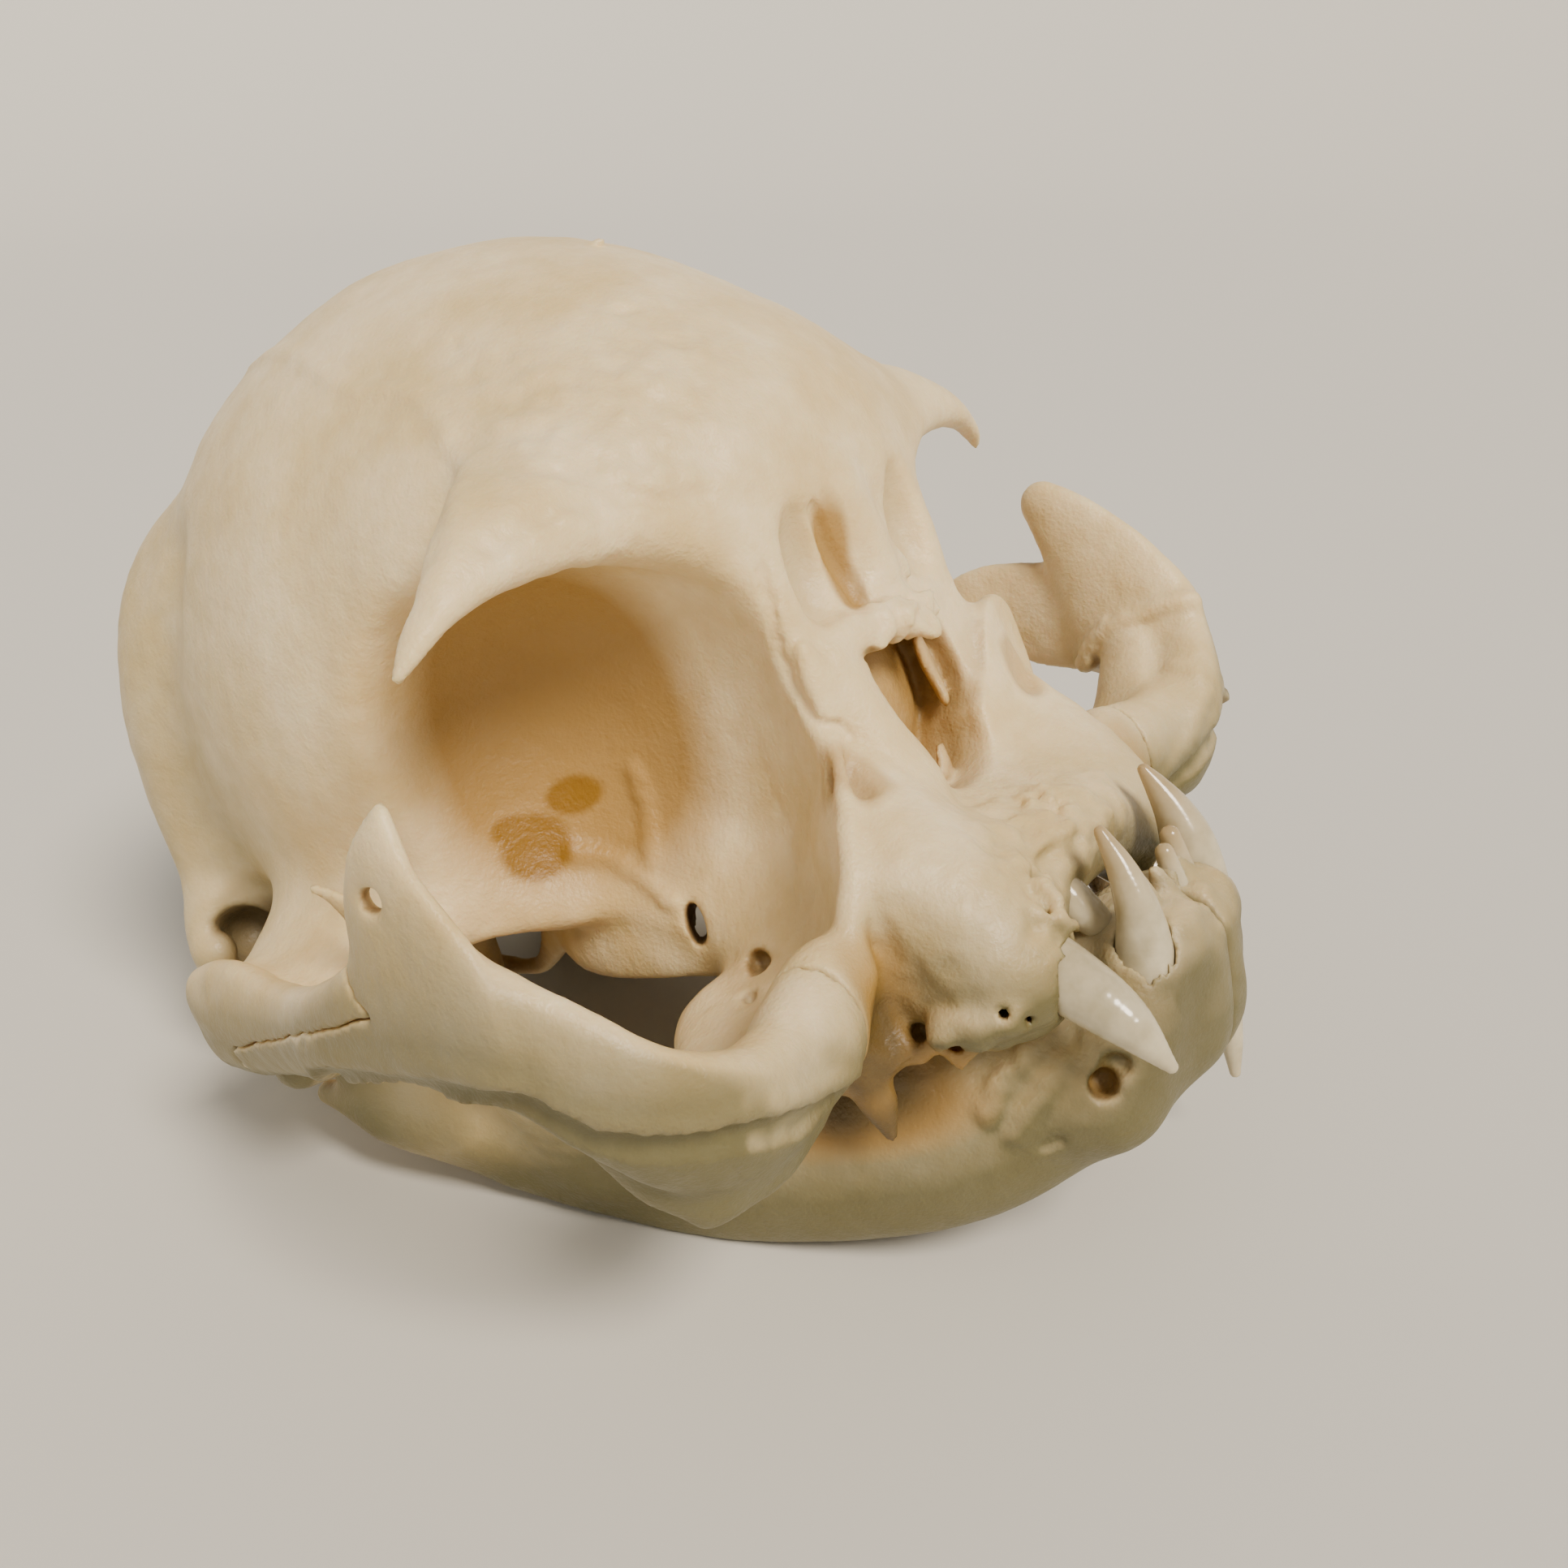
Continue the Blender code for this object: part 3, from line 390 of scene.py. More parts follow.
processes = dict(
    cheekSpine=dict(blade=[(28.9, 20, 7.5, 2.3, 1.4, 0.95, 0.25, 0), (30, 15, 7.6, 3.2, 1.3, 1, 0.25, 0),
                           (32, 8, 7.8, 2.6, 1.2, 1, 0.25, 0), (33.6, 3, 8.2, 2.3, 1.1, 1, 0.2, 0),
                           (35.2, -2, 9.6, 2, 1, 1, 0.2, 0), (36.6, -6.6, 11.6, 1.4, 0.9, 1, 0.15, 0)],
                    soft=3, steps=7),
    browHorn=dict(blade=[(12, -12.6, 32, 5.4, 2.6, 0.2, -0.6, 0.7),
                         (16, -12.6, 32.7, 4.8, 2.3, 0.35, -0.6, 0.7),
                         (20.5, -12.4, 32.6, 4.1, 1.9, 0.45, -0.6, 0.65),
                         (25, -12.8, 31.6, 2.7, 1.4, 0.6, -0.55, 0.55),
                         (28.8, -13, 29.8, 1.4, 0.9, 0.75, -0.4, 0.5),
                         (31.2, -12.7, 28.2, 0.9, 0.6, 0.85, -0.2, 0.45),
                         (32.5, -12.3, 26.9, 0.4, 0.4, 0.9, -0.1, 0.4)], soft=2.5, steps=7),
    frontCusp=dict(rod=[(16.6, -21, -1.5, 1.7), (16.9, -21.8, -4.6, 1.2), (16.8, -21.9, -7.3, 0.35)],
                   soft=0.8),
    middleCusp=dict(rod=[(17.2, -16.8, -2, 1.8), (17.4, -16.6, -4.6, 1.2), (17.3, -16.2, -7, 0.35)],
                    soft=1.4),
    rearCusp=dict(rod=[(17, -13.4, -1.6, 1.4), (16.9, -13, -5.2, 0.35)], soft=1.4),
    premolar=dict(rod=[(14, -25.6, -1.4, 1.2), (14.2, -26, -4.6, 0.35)], soft=0.8),
    pterygoid=dict(blade=[(10, -7, 5, 4.8, 1, 1, 0, 0.3), (10.4, -2, 4.4, 4.2, 0.9, 1, 0, 0.3),
                          (10, 3, 4.2, 3.8, 0.9, 1, 0.1, 0.3), (8.6, 8, 3, 2, 0.7, 1, 0.1, 0.1),
                          (6.2, 14, -1, 0.9, 0.5, 1, 0, 0), (6, 18.5, -1.1, 0.6, 0.5, 1, 0, 0)], soft=1.5),
)

rightArch = dict(
    bar=dict(blade=[(20, -22.4, 3.4, 2.8, 2.4, 0.1, -1, -0.1), (25, -23, 2, 3.6, 2.1, 0.3, -1, -0.3),
                    (30.4, -22.8, 2, 4.4, 1.9, 0.6, -0.8, -0.4), (34.8, -21.6, 5.2, 4, 1.6, 0.85, -0.5, -0.4),
                    (37, -18.4, 9.2, 3.7, 1.4, 1, -0.3, -0.2), (37.6, -13, 11.3, 4, 1.2, 1, 0, 0),
                    (36.8, -6.5, 9.8, 3.1, 1.1, 1, 0.1, 0), (35, 0, 8.3, 2.6, 1.1, 1, 0.2, 0),
                    (33.2, 5, 7.6, 2.4, 1.2, 1, 0.25, 0), (31.6, 10, 6.8, 2.6, 1.2, 1, 0.25, 0),
                    (30.2, 14.5, 6.2, 3, 1.3, 1, 0.25, 0), (28.8, 19.6, 4.4, 1.9, 1.3, 1, 0.25, 0)], steps=7),
    horn=dict(blade=[(37.8, -13.4, 12.6, 5.6, 1.1, 1, 0.15, 0), (38, -13.2, 15.6, 4.4, 0.9, 1, 0.15, 0),
                     (37.9, -13.3, 18.6, 2.6, 0.75, 1, 0.15, 0), (37.6, -14.4, 22, 0.45, 0.45, 1, 0.1, 0)],
              soft=1.5, steps=7),
    scar=dict(blade=[(24, -21.5, -0.6, 2.6, 1.3, 0.2, -1, 0.2), (28, -20.6, -1.4, 2.8, 1.3, 0.5, -0.8, 0.3),
                     (31, -18.6, -0.6, 2.4, 1.2, 0.8, -0.5, 0.2), (34, -16.8, 4.4, 1.6, 1, 1, -0.4, 0)],
              soft=1.5),
    spur=dict(rod=[(29, -20.6, -1, 1.6), (30, -19.8, -2.8, 1.1), (30.4, -19.2, -4, 0.5)], soft=1.5),
    hole=dict(rod=[(34, -9.2, 16.7, 0.6), (42, -15.4, 18.7, 0.6)], soft=0.2, cut=True),
)
leftArch = dict(
    bar=dict(blade=[(20, -22.6, 3.4, 3, 2.6, 0.1, -1, -0.1), (26, -24, 1.6, 4.2, 2.2, 0.3, -1, -0.15),
                    (31.5, -24.4, 1.4, 5.2, 1.9, 0.6, -0.8, -0.1), (35.2, -23.4, 4.8, 5.2, 1.6, 0.9, -0.4, 0),
                    (37, -20.2, 9.2, 5, 1.4, 1, 0, 0), (37.4, -13.5, 10.8, 4.6, 1.2, 1, 0.05, 0),
                    (37, -7, 12, 4.2, 1.1, 1, 0.1, 0), (35.2, 0, 9.4, 3.2, 1.1, 1, 0.2, 0),
                    (33.2, 5, 7.9, 2.7, 1.2, 1, 0.25, 0), (31.6, 10, 6.8, 2.6, 1.2, 1, 0.25, 0),
                    (30.2, 14.5, 6.2, 3, 1.3, 1, 0.25, 0), (28.8, 19.6, 4.4, 1.9, 1.3, 1, 0.25, 0)], steps=7),
    horn=dict(blade=[(36.6, -21, 10, 4.9, 1.3, 1, 0.05, 0), (36.8, -19.4, 14, 4.2, 1.3, 1, 0.1, 0),
                     (36.8, -16.8, 18, 3.1, 1.2, 1, 0.1, 0), (36.8, -14.9, 20.6, 2, 1.1, 1, 0.1, 0)],
              soft=2.2, steps=7),
    sill=dict(blade=[(24, -21, 2.4, 2.6, 1.3, -0.3, 0.2, 1), (29, -20.8, 4, 2.6, 1.1, -0.5, 0.3, 0.8),
                     (33, -20.6, 7.4, 2.2, 1, -0.8, 0.3, 0.5)], soft=2.5),
    upperRidge=dict(rod=[(35, -16.5, 7, 0.6), (35.2, -18.5, 8.9, 0.7), (35.3, -21, 10, 0.7),
                         (35.6, -23.4, 10.3, 0.7), (36, -25.4, 10.2, 0.6)], soft=1.2),
    lowerRidge=dict(rod=[(33.5, -16.5, 0.9, 0.6), (34.6, -20, 2.9, 0.7), (35.6, -23.3, 2.7, 0.7),
                         (36.4, -26.6, 2.1, 0.7)], soft=1.2),
    splinter=dict(rod=[(35.4, -25.5, 2.4, 1), (35.2, -27.4, 1.4, 0.7), (35, -28.6, 0.8, 0.4)], soft=0.8),
)

mandible = dict(
    body=dict(blade=[(3, -31.8, -5.4, 5.6, 2.5, 0.9, -0.3, 0), (5.4, -28.6, -7.6, 6, 2.7, 1, -0.35, 0),
                     (10.6, -21, -10.9, 6.2, 3.2, 1, -0.3, 0), (15, -8, -10.5, 6.4, 2.8, 1, -0.25, 0),
                     (18.5, 3, -7, 6.3, 2.2, 1, -0.2, 0), (21, 11, -2.8, 5.6, 1.8, 1, -0.2, 0),
                     (22.3, 16, 0.4, 3.2, 1.6, 1, -0.2, 0)], soft=2, steps=12),
    lip=dict(rod=[(0, -35.6, -1.6, 2), (3, -35.4, -1.6, 1.9)], soft=3),
    canineRoot=dict(rod=[(5.2, -34, -2.4, 2.5), (5.8, -33, -6, 3), (6.4, -31, -10, 3)], soft=2),
    symphysisBase=dict(ball=(5.4, -28.4, -8.8), radii=(4.6, 4.6, 4.2), soft=3),
    chin=dict(ball=(0, -32.2, -5.4), radii=(4.2, 4.1, 6.2), soft=3, turn=(-20, 0, 0)),
    angle=dict(rod=[(20.4, 9, -5.5, 2), (21.8, 15.5, -5, 1.6), (22.8, 21, -3, 0.9)], soft=3),
    coronoid=dict(blade=[(19, -1, -5, 6, 1.6, 1, -0.2, 0), (23.3, 1.2, 3, 4.2, 1.1, 1, -0.2, 0),
                         (26.3, 3, 9.4, 2, 0.7, 1, -0.2, 0), (27.6, 5, 13.4, 0.8, 0.5, 1, -0.2, 0),
                         (28, 6.8, 14.7, 0.4, 0.4, 1, -0.2, 0)], soft=2, steps=7),
    condyle=dict(rod=[(20, 15, 2, 2), (24, 15, 2.2, 2.2), (28, 14.5, 2.6, 1.8)], soft=2),
    firstIncisor=dict(rod=[(1, -34.8, -0.8, 0.8), (1, -34.3, 2.3, 0.4)], soft=0.5),
    thirdIncisor=dict(rod=[(2.6, -34.6, -0.8, 0.9), (2.7, -34.2, 2.6, 0.4)], soft=0.5),
    premolar=dict(rod=[(11.2, -21, -5.6, 1.8), (11.6, -21.2, -1.6, 0.4)], soft=1),
    molar=dict(blade=[(13.4, -15.6, -4.6, 2, 1.3, 1, -0.2, 0), (14.6, -11.4, -4.4, 2, 1.3, 1, -0.2, 0)],
               soft=1),
)

upperCanine = [(10, -25.4, 4.5, 1.9), (10.5, -28.9, 2, 2.2), (10.9, -32.2, 0.1, 2),
               (11.3, -35.3, -2.2, 1.5), (11.5, -37.6, -5, 0.4)]
slippedCanine = [(9.6, -25, 0.6, 1.8), (10.6, -28, -2, 2), (11.2, -30.6, -5.4, 1.9), (11, -31.8, -10, 1.5),
                 (10.4, -32.2, -14.5, 0.9), (10, -32.1, -17.6, 0.4)]
lowerCanine = [(5.2, -33.5, -6, 2), (5.3, -34.4, -2.5, 1.9), (5.2, -34.8, 1, 1.4), (5, -34.3, 4, 0.9),
               (4.8, -33.4, 6.4, 0.4)]
leftLowerCanine = [(5.2, -33.5, -6, 2), (5.6, -34, -2.5, 2.1), (5.9, -34, 0.8, 1.8), (5.9, -33.6, 3.2, 1.3),
                   (5.7, -32.9, 5.2, 0.8), (5.5, -32.3, 6.6, 0.4)]

rightSide = dict(  # what differs on the right, once the halves are joined
    canineRoot=dict(rod=[(-10.4, -22.5, 8, 3.4), (-12, -25.6, 4.4, 4.5), (-12, -28.6, 1.2, 3.6)], soft=4),
    canineFossa=dict(ball=(-18.4, -27, 2), radii=(2.2, 3, 6.5), soft=3, cut=True),
    noseRim=dict(rod=[(-7, -20, 18.6, 0.9), (-6.8, -20.6, 16.2, 1.2), (-6.5, -21.3, 13.6, 1.3),
                      (-5.8, -22.2, 10.8, 1.3)], soft=3),
    cornerIncisor=dict(rod=[(-3.8, -28.9, 3.6, 1.1), (-3.5, -30.5, 1, 1), (-3, -31.8, -1.5, 0.35)], soft=0.4),
)
leftSide = dict(  # what differs on the left, once the halves are joined
    emptySocket=dict(ball=(13.5, -31.5, -0.5), radii=(4.5, 4.2, 5), soft=1, cut=True),
    orbitTab=dict(blade=[(11.4, -20.2, 9, 5.4, 1, 0.2, -1, 0.1), (12.4, -20.6, 12, 5.2, 0.9, 0.2, -1, 0.1),
                         (12.6, -20.6, 13.2, 4.8, 0.7, 0.2, -1, 0)], soft=1.6, power=4),
)

rightSutures = dict(  # planes that end a cheekbone; a point on each, and the way to the cheekbone
    front=dict(at=(22, -22.8, 3), normal=(1, -0.25, 0)),
    under=dict(at=(30.4, 19, 4.6), normal=(0, -0.25, -1)),
    tip=dict(at=(38, -8.6, 12.6), normal=(0, -0.8, 0.6)),
)
leftSutures = dict(rightSutures, tip=dict(at=(36, 1.5, 10), normal=(0, -0.9, 0.4)))

bothSides = dict(  # finer forms of the head, cut or raised on both sides
    nerveHole=dict(rod=[(13.8, -13.4, 2.4, 0.7), (12.6, -12.6, 2.1, 0.6)], soft=0.3, cut=True),
    palatineHole=dict(rod=[(17.4, -14.9, 2, 0.4), (16.4, -14.2, 1.6, 0.45)], soft=0.3, cut=True),
    tearPit=dict(rod=[(16.4, -21.8, 8.9, 0.5), (17.4, -22.4, 8, 0.6), (18.4, -23, 7, 0.45)], soft=0.3,
                 cut=True),
    cheekForamen=dict(ball=(11.6, -22.9, 13), radii=(1.7, 2, 2.2), soft=0.8, cut=True),
    stopHollow=dict(ball=(6.3, -20.2, 25), radii=(1.9, 2.2, 3.8), soft=1.2, cut=True),
    earCanal=dict(rod=[(20, 29.7, 8, 2.3), (16.6, 32.4, 6.9, 2)], soft=0.3, cut=True),
    earBump=dict(ball=(20.2, 32.4, 7), radii=(1.5, 1.8, 1.6), soft=0.8),
    rootHollow=dict(rod=[(16.6, -25.1, 8.6, 0.5), (17.1, -25.3, 5.6, 1.1), (17.1, -25.7, 2.8, 1.9),
                         (16.6, -25.9, 0, 2.4)], soft=0.8, cut=True),
)
onTheRight = dict(  # finer forms of the right side and the middle, as the skull has them
    middleRidge=dict(rod=[(-0.6, -19, 28, 1.6), (0.6, -19.2, 25, 1.8), (0.6, -19.6, 22.4, 1.7)], soft=2.5),
    fissure=dict(rod=[(-4.3, -19.8, 28, 0.5), (-3.2, -19.5, 25, 0.8), (-2.4, -19.8, 22.8, 0.8),
                      (-2.7, -20.4, 20.9, 0.5)], soft=0.25, cut=True),
    curl=dict(rod=[(2.2, -20.4, 23.8, 0.35), (2.7, -20.5, 22.8, 0.5), (3, -20.6, 21.9, 0.35)], soft=0.5),
    bridge=dict(rod=[(-6, -20, 20.1, 1.2), (-3.4, -20.5, 20.1, 1.35), (0, -20.8, 19.9, 1.4),
                     (3.4, -20.5, 19.5, 1.2)], soft=0.7),
    bridgeNub=dict(rod=[(0.6, -21.6, 19.2, 0.7), (1.7, -22, 18.3, 0.45)], soft=0.4),
    lacrimalTab=dict(blade=[(-9.6, -19.9, 20.6, 0.7, 0.45, -0.4, -1, 0),
                            (-9.4, -20.2, 18.6, 1, 0.55, -0.4, -1, 0),
                            (-9.4, -20.5, 16.9, 0.9, 0.45, -0.4, -1, 0)], soft=0.3),
    scrollBack=dict(ball=(1.5, -14.6, 14.3), radii=(6, 3.4, 7), soft=0.6),
    scrollC=dict(blade=[(5, -18.8, 16.8, 1.4, 0.3, 0.5, -0.9, 0), (5.4, -19.2, 14.4, 1.2, 0.3, 0.5, -0.9, 0),
                        (4.6, -20, 13.2, 0.6, 0.25, 0.5, -0.9, 0)], soft=0.3),
    scrollLow=dict(blade=[(1.8, -20.4, 8.6, 1, 0.25, 0, -1, 0), (2.4, -20, 10.2, 0.5, 0.2, 0, -1, 0)],
                   soft=0.3),
    orbitRim=dict(rod=[(-10.8, -21.1, 14.9, 0.3), (-12.4, -22.1, 13.4, 0.5), (-15.1, -23.3, 10.4, 0.6),
                       (-16.4, -23.8, 8.8, 0.65), (-17.6, -23.8, 6.8, 0.7), (-18.6, -23.8, 4.4, 1)],
                  soft=0.7),
    rootBump=dict(rod=[(-15.8, -26.6, -0.8, 1), (-15.6, -28.4, -0.8, 1.2), (-15, -30.4, -0.4, 1)], soft=1),
    rootGapA=dict(rod=[(-17, -25.7, -0.9, 0.4), (-14, -24, -1.8, 0.4)], soft=0.2, cut=True),
    rootGapB=dict(rod=[(-16.4, -27.4, -1.6, 0.35), (-13.6, -26, -2.4, 0.35)], soft=0.2, cut=True),
    rootGapC=dict(rod=[(-16.2, -30.9, 0.4, 0.3), (-13.4, -29.6, -0.4, 0.3)], soft=0.2, cut=True),
    rootGapD=dict(rod=[(-15.4, -31.8, -0.4, 0.25), (-12.8, -30.6, -1.2, 0.25)], soft=0.2, cut=True),
    slit=dict(blade=[(-12.6, -8.1, 4.6, 1.35, 0.5, 0.6, -0.8, 0), (-6, -3, 2.4, 1.3, 0.5, 0.6, -0.8, 0),
                     (2, 3.1, -0.2, 1.2, 0.5, 0.6, -0.8, 0), (9, 8.5, -2.4, 1.2, 0.5, 0.6, -0.8, 0)],
              soft=0.3, cut=True),
    jagged=dict(rod=[(-9.6, -31.6, 5.2, 0.5), (-10.6, -32.4, 3.8, 0.6), (-9.6, -33, 2.4, 0.4)], soft=0.5),
    domeNick=dict(ball=(0.7, -5.5, 47.4), radii=(0.7, 0.7, 0.35), soft=0.4),
)
lines = dict(  # fine grooves, and low ridges where depth is negative: points, width, depth and wander
    temporalLine=dict(points=[(-29, -13, 30.6), (-27, -13.4, 32.4), (-24.2, -11.2, 35.2), (-18.6, -6.3, 38.3),
                              (-17.1, -4, 40.3), (-16.6, -1.1, 41.5), (-16.4, 2.5, 42.2), (-12.9, 10.5, 45.9),
                              (-8, 20, 46)], width=0.8, depth=-0.2, wander=0.1),
    tearSuture=dict(points=[(-10, -19, 25.8), (-10.2, -19, 24.6), (-10.4, -18.7, 21.9), (-10.4, -18.6, 20.5),
                            (-10.6, -18.9, 18.8), (-10.6, -19.5, 17.5), (-10.5, -20.2, 16.3),
                            (-9.4, -20.8, 15.9), (-9.5, -21.3, 14.8)], width=0.28, depth=0.35, wander=0.12),
    snoutSuture=dict(points=[(-8.6, -20.4, 16), (-8.2, -21.4, 14), (-7.8, -22.6, 12), (-8.6, -24.5, 10)],
                     width=0.25, depth=0.12, wander=0.15),
    wallRidge=dict(points=[(-12.3, 1.1, 10.1), (-11, -1, 9), (-10.6, -3.6, 7.2), (-11, -5.6, 5.6)], width=0.6,
                   depth=-0.4, wander=0.08),
    wallRidgeB=dict(points=[(-8.9, -3.6, 14.2), (-9.2, -3.8, 11), (-10.1, -3.9, 8.2)], width=0.7, depth=-0.35,
                    wander=0.1),
    wallSuture=dict(points=[(-9, -13.8, 13.5), (-9.6, -14.6, 11), (-10.4, -15.6, 8), (-12, -15.8, 5)],
                    width=0.3, depth=0.12, wander=0.2),
    wallSutureB=dict(points=[(-9.4, -17, 15), (-9.8, -17.6, 12), (-11, -18, 9), (-12.6, -17.4, 6)],
                     width=0.25, depth=0.12, wander=0.25),
    veinA=dict(points=[(-13.6, -4.6, 42.9), (-13, -3.8, 43.4)], width=0.3, depth=0.22, wander=0.1),
    veinB=dict(points=[(-15.6, -6.8, 40.5), (-15.2, -6, 41.2)], width=0.3, depth=0.22, wander=0.1),
    veinC=dict(points=[(-6.8, -11.3, 42.2), (-5.8, -12.2, 42)], width=0.45, depth=0.28, wander=0.1),
    veinD=dict(points=[(-6.6, -14, 40), (-6.2, -15, 39.4)], width=0.45, depth=0.28, wander=0.1),
    browFold=dict(points=[(-26, -14.6, 31.4), (-22, -15, 32.4), (-18, -15.9, 32.2), (-12, -18.4, 30.6)],
                  width=1, depth=0.3, wander=0.2),
    browFoldB=dict(points=[(-20, -14.4, 34.5), (-15, -16, 34), (-10, -18, 32.5)], width=1.2, depth=0.25,
                   wander=0.2),
)
muscleEdge = [(34, 2, 6.9), (36.4, -1, 8.2), (37.4, -6, 8.8), (38.6, -13.6, 9.4), (38.6, -17.7, 8.6),
              (37.4, -20.5, 6), (35.6, -23.1, 4.5), (32, -25.4, 3.4), (27.4, -25.4, 1.9), (23, -25, 0.5)]
cheekLines = dict(  # where the jaw muscle was fixed, on both cheekbones
    muscleRidge=dict(points=muscleEdge, width=0.9, depth=-0.2, wander=0.1),
    muscleGroove=dict(points=[(x, y, z - 1.7) for x, y, z in muscleEdge], width=1.3, depth=0.6, wander=0.1),
)
leftCheekLines = dict(  # ridges on the inner side of the left cheekbone
    upperRidge=dict(points=[(34.6, -15.5, 6), (35, -16.5, 7), (35.2, -18.5, 8.9), (35.3, -21, 10),
                            (35.6, -23.4, 10.3), (36, -25.4, 10.2)], width=0.7, depth=-0.5, wander=0.05),
    lowerRidge=dict(points=[(33.5, -16.5, 0.9), (34.6, -20, 2.9), (35.6, -23.3, 2.7), (36.4, -26.6, 2.1)],
                    width=0.7, depth=-0.5, wander=0.05),
)
patches = dict(  # where the bone is rough: middle, reach, size of the grain and height, mm
    premaxilla=dict(at=(-3, -29.5, 6.5), radii=(12, 5.5, 5), grain=1.5, height=0.5),
    premaxillaFine=dict(at=(-4, -29, 6.5), radii=(12, 6, 5.5), grain=0.7, height=0.35),
    socketRim=dict(at=(-11, -32, 3.4), radii=(3.4, 3, 3.4), grain=0.8, height=0.5),
    bridge=dict(at=(0, -21.6, 20), radii=(9, 3, 3), grain=0.8, height=0.6),
    forehead=dict(at=(-12, -13, 37), radii=(16, 11, 10), grain=1.1, height=0.22),
    brow=dict(at=(-18, -14.5, 32.5), radii=(12, 6, 5), grain=1, height=0.2),
    maxilla=dict(at=(-14, -26, 6), radii=(7, 7, 9), grain=1, height=0.16),
    toothRow=dict(at=(-15, -24, -2), radii=(6, 9, 3.5), grain=1, height=0.4),
    toothRowLeft=dict(at=(15, -24, -2), radii=(6, 9, 3.5), grain=1, height=0.4),
)

jawDetails = dict(
    mentalForamen=dict(rod=[(-9.7, -32.4, -7.6, 0.95), (-8, -31.4, -8, 0.8)], soft=0.4, cut=True),
    mentalNotch=dict(ball=(-8.9, -33, -6.6), radii=(0.9, 0.9, 0.8), soft=0.5, cut=True),
    mentalForamenLeft=dict(rod=[(9.6, -32.2, -7.6, 0.8), (8, -31.3, -8, 0.7)], soft=0.4, cut=True),
)
jawLines = dict(
    rootRidgeA=dict(points=[(-9.9, -28.6, -4.8), (-10.6, -26.6, -6.6), (-11, -25, -8.6)], width=0.9,
                    depth=-0.55, wander=0.1),
    rootRidgeB=dict(points=[(-9.6, -30, -6), (-10.3, -28.2, -8.2), (-11, -26.6, -10)], width=0.8, depth=-0.45,
                    wander=0.1),
    rearPit=dict(points=[(-10.2, -28.9, -10.8), (-10.6, -28, -11.2)], width=0.6, depth=0.3, wander=0.05),
)

smallTeeth = dict(  # enamel that stands in the jaws: the nodes that each set belongs to, and its forms
    upperIncisors=dict(nodes=["upper_jaw"], forms=dict(
        corner=dict(rod=[(-4, -28.6, 4.2, 1.1), (-4.4, -30.2, 2.2, 1.3), (-3.8, -31.5, 0.1, 1),
                         (-3.1, -32.1, -1.7, 0.35)], soft=0.4),
        cornerBump=dict(ball=(-4.7, -30.9, 1.2), radii=(0.8, 0.8, 0.7), soft=0.5))),
    lowerIncisors=dict(nodes=["lower_jaw_right", "lower_jaw_left"], forms=dict(
        first=dict(rod=[(-1.2, -34.9, -0.6, 0.8), (-1.2, -34.5, 2.2, 0.55)], soft=0.3),
        second=dict(rod=[(1, -34.9, -0.6, 0.85), (1.1, -34.4, 2.6, 0.6)], soft=0.3),
        third=dict(rod=[(2.8, -34.7, -0.6, 0.95), (2.9, -34.2, 3, 0.65)], soft=0.3),
        fourth=dict(rod=[(-2.7, -34.7, -0.8, 0.8), (-2.8, -34.3, 1.4, 0.45)], soft=0.3))),
)

# These spots colour the bone on both sides, or on the right alone where x is below nought.
stainsAndPaintedShade = dict(  # where fat has browned the bone, with painted shade under the cheek's root and by the back teeth, and painted light through the orbit's thin walls: middle, radii and strength
    # fat-browned bone, with painted light shining through the thin orbit walls
    orbit=dict(at=(9.5, 0, 20), radii=(10.4, 10.4, 13.5), strength=1),
    nose=dict(at=(0, -13.4, 14), radii=(7.5, 8, 7), strength=0.85),
    fissure=dict(at=(-2.9, -19, 24.2), radii=(1.3, 1.6, 5), strength=1),
    cheekForamen=dict(at=(11.4, -22.2, 13), radii=(1.9, 2.2, 2.4), strength=0.6),
    # painted shade under the cheek's root and by the back teeth
    underCheek=dict(at=(18.5, -22.5, 0.5), radii=(3.4, 3.8, 6), strength=1),
    backTeeth=dict(at=(16, -19.5, -5.5), radii=(5, 9, 4.5), strength=1),
    mental=dict(at=(7.6, -31, -8.3), radii=(1.7, 2, 1.6), strength=0.5),
    wallHoles=dict(at=(13.4, -13.6, 1.8), radii=(3, 3, 1.5), strength=0.3),
)
shades = dict(  # dark corners: middle, radii and strength
    stopHollow=dict(at=(6.2, -19.2, 25), radii=(2, 2, 4), strength=0.4),
    underCheek=dict(at=(18, -22.6, -0.5), radii=(3.8, 4, 6), strength=1),
    backTeeth=dict(at=(15.5, -19.5, -6), radii=(5, 9, 4), strength=1),
    ear=dict(at=(17.2, 31.6, 7.2), radii=(4.5, 5, 3.4), strength=1),
    chin=dict(at=(4, -34, -4), radii=(8, 4.5, 8), strength=0.3),
)
glows = dict(  # the holes that light comes through, drawn as yellow patches: middle and radii
    opticForamen=dict(at=(11.1, 0.2, 13.7), radii=(2.2, 2.2, 1.5)),
    orbitalFissure=dict(at=(13.8, 2.3, 11.2), radii=(2.8, 2.8, 2.6)),
    fissureLobe=dict(at=(15, 2.4, 12.9), radii=(1.8, 2, 1.2)),
)
muscleLine = smoothPath([(20, -25, 0.4)] + muscleEdge[::-1] + [(32, 10, 5), (30, 18, 4.4)], 24)


def reachOf(points, at, radii, power):  # 0 in the middle of a spot, 1 at its edge
    x = points[:, 0] if at[0] < 0 else np.abs(points[:, 0])
    away = np.abs(np.column_stack([x, points[:, 1:]]) - at) / radii
    return (away ** power).sum(1) ** (1 / power)


def spotted(points, spots, full, fall, power=2):  # how strongly the spots colour each point
    total = np.zeros(len(points))
    for spot in spots.values():
        away = reachOf(points, spot["at"], spot["radii"], power)
        total = np.maximum(total, spot.get("strength", 1) * np.clip(full - fall * away, 0, 1))
    return total


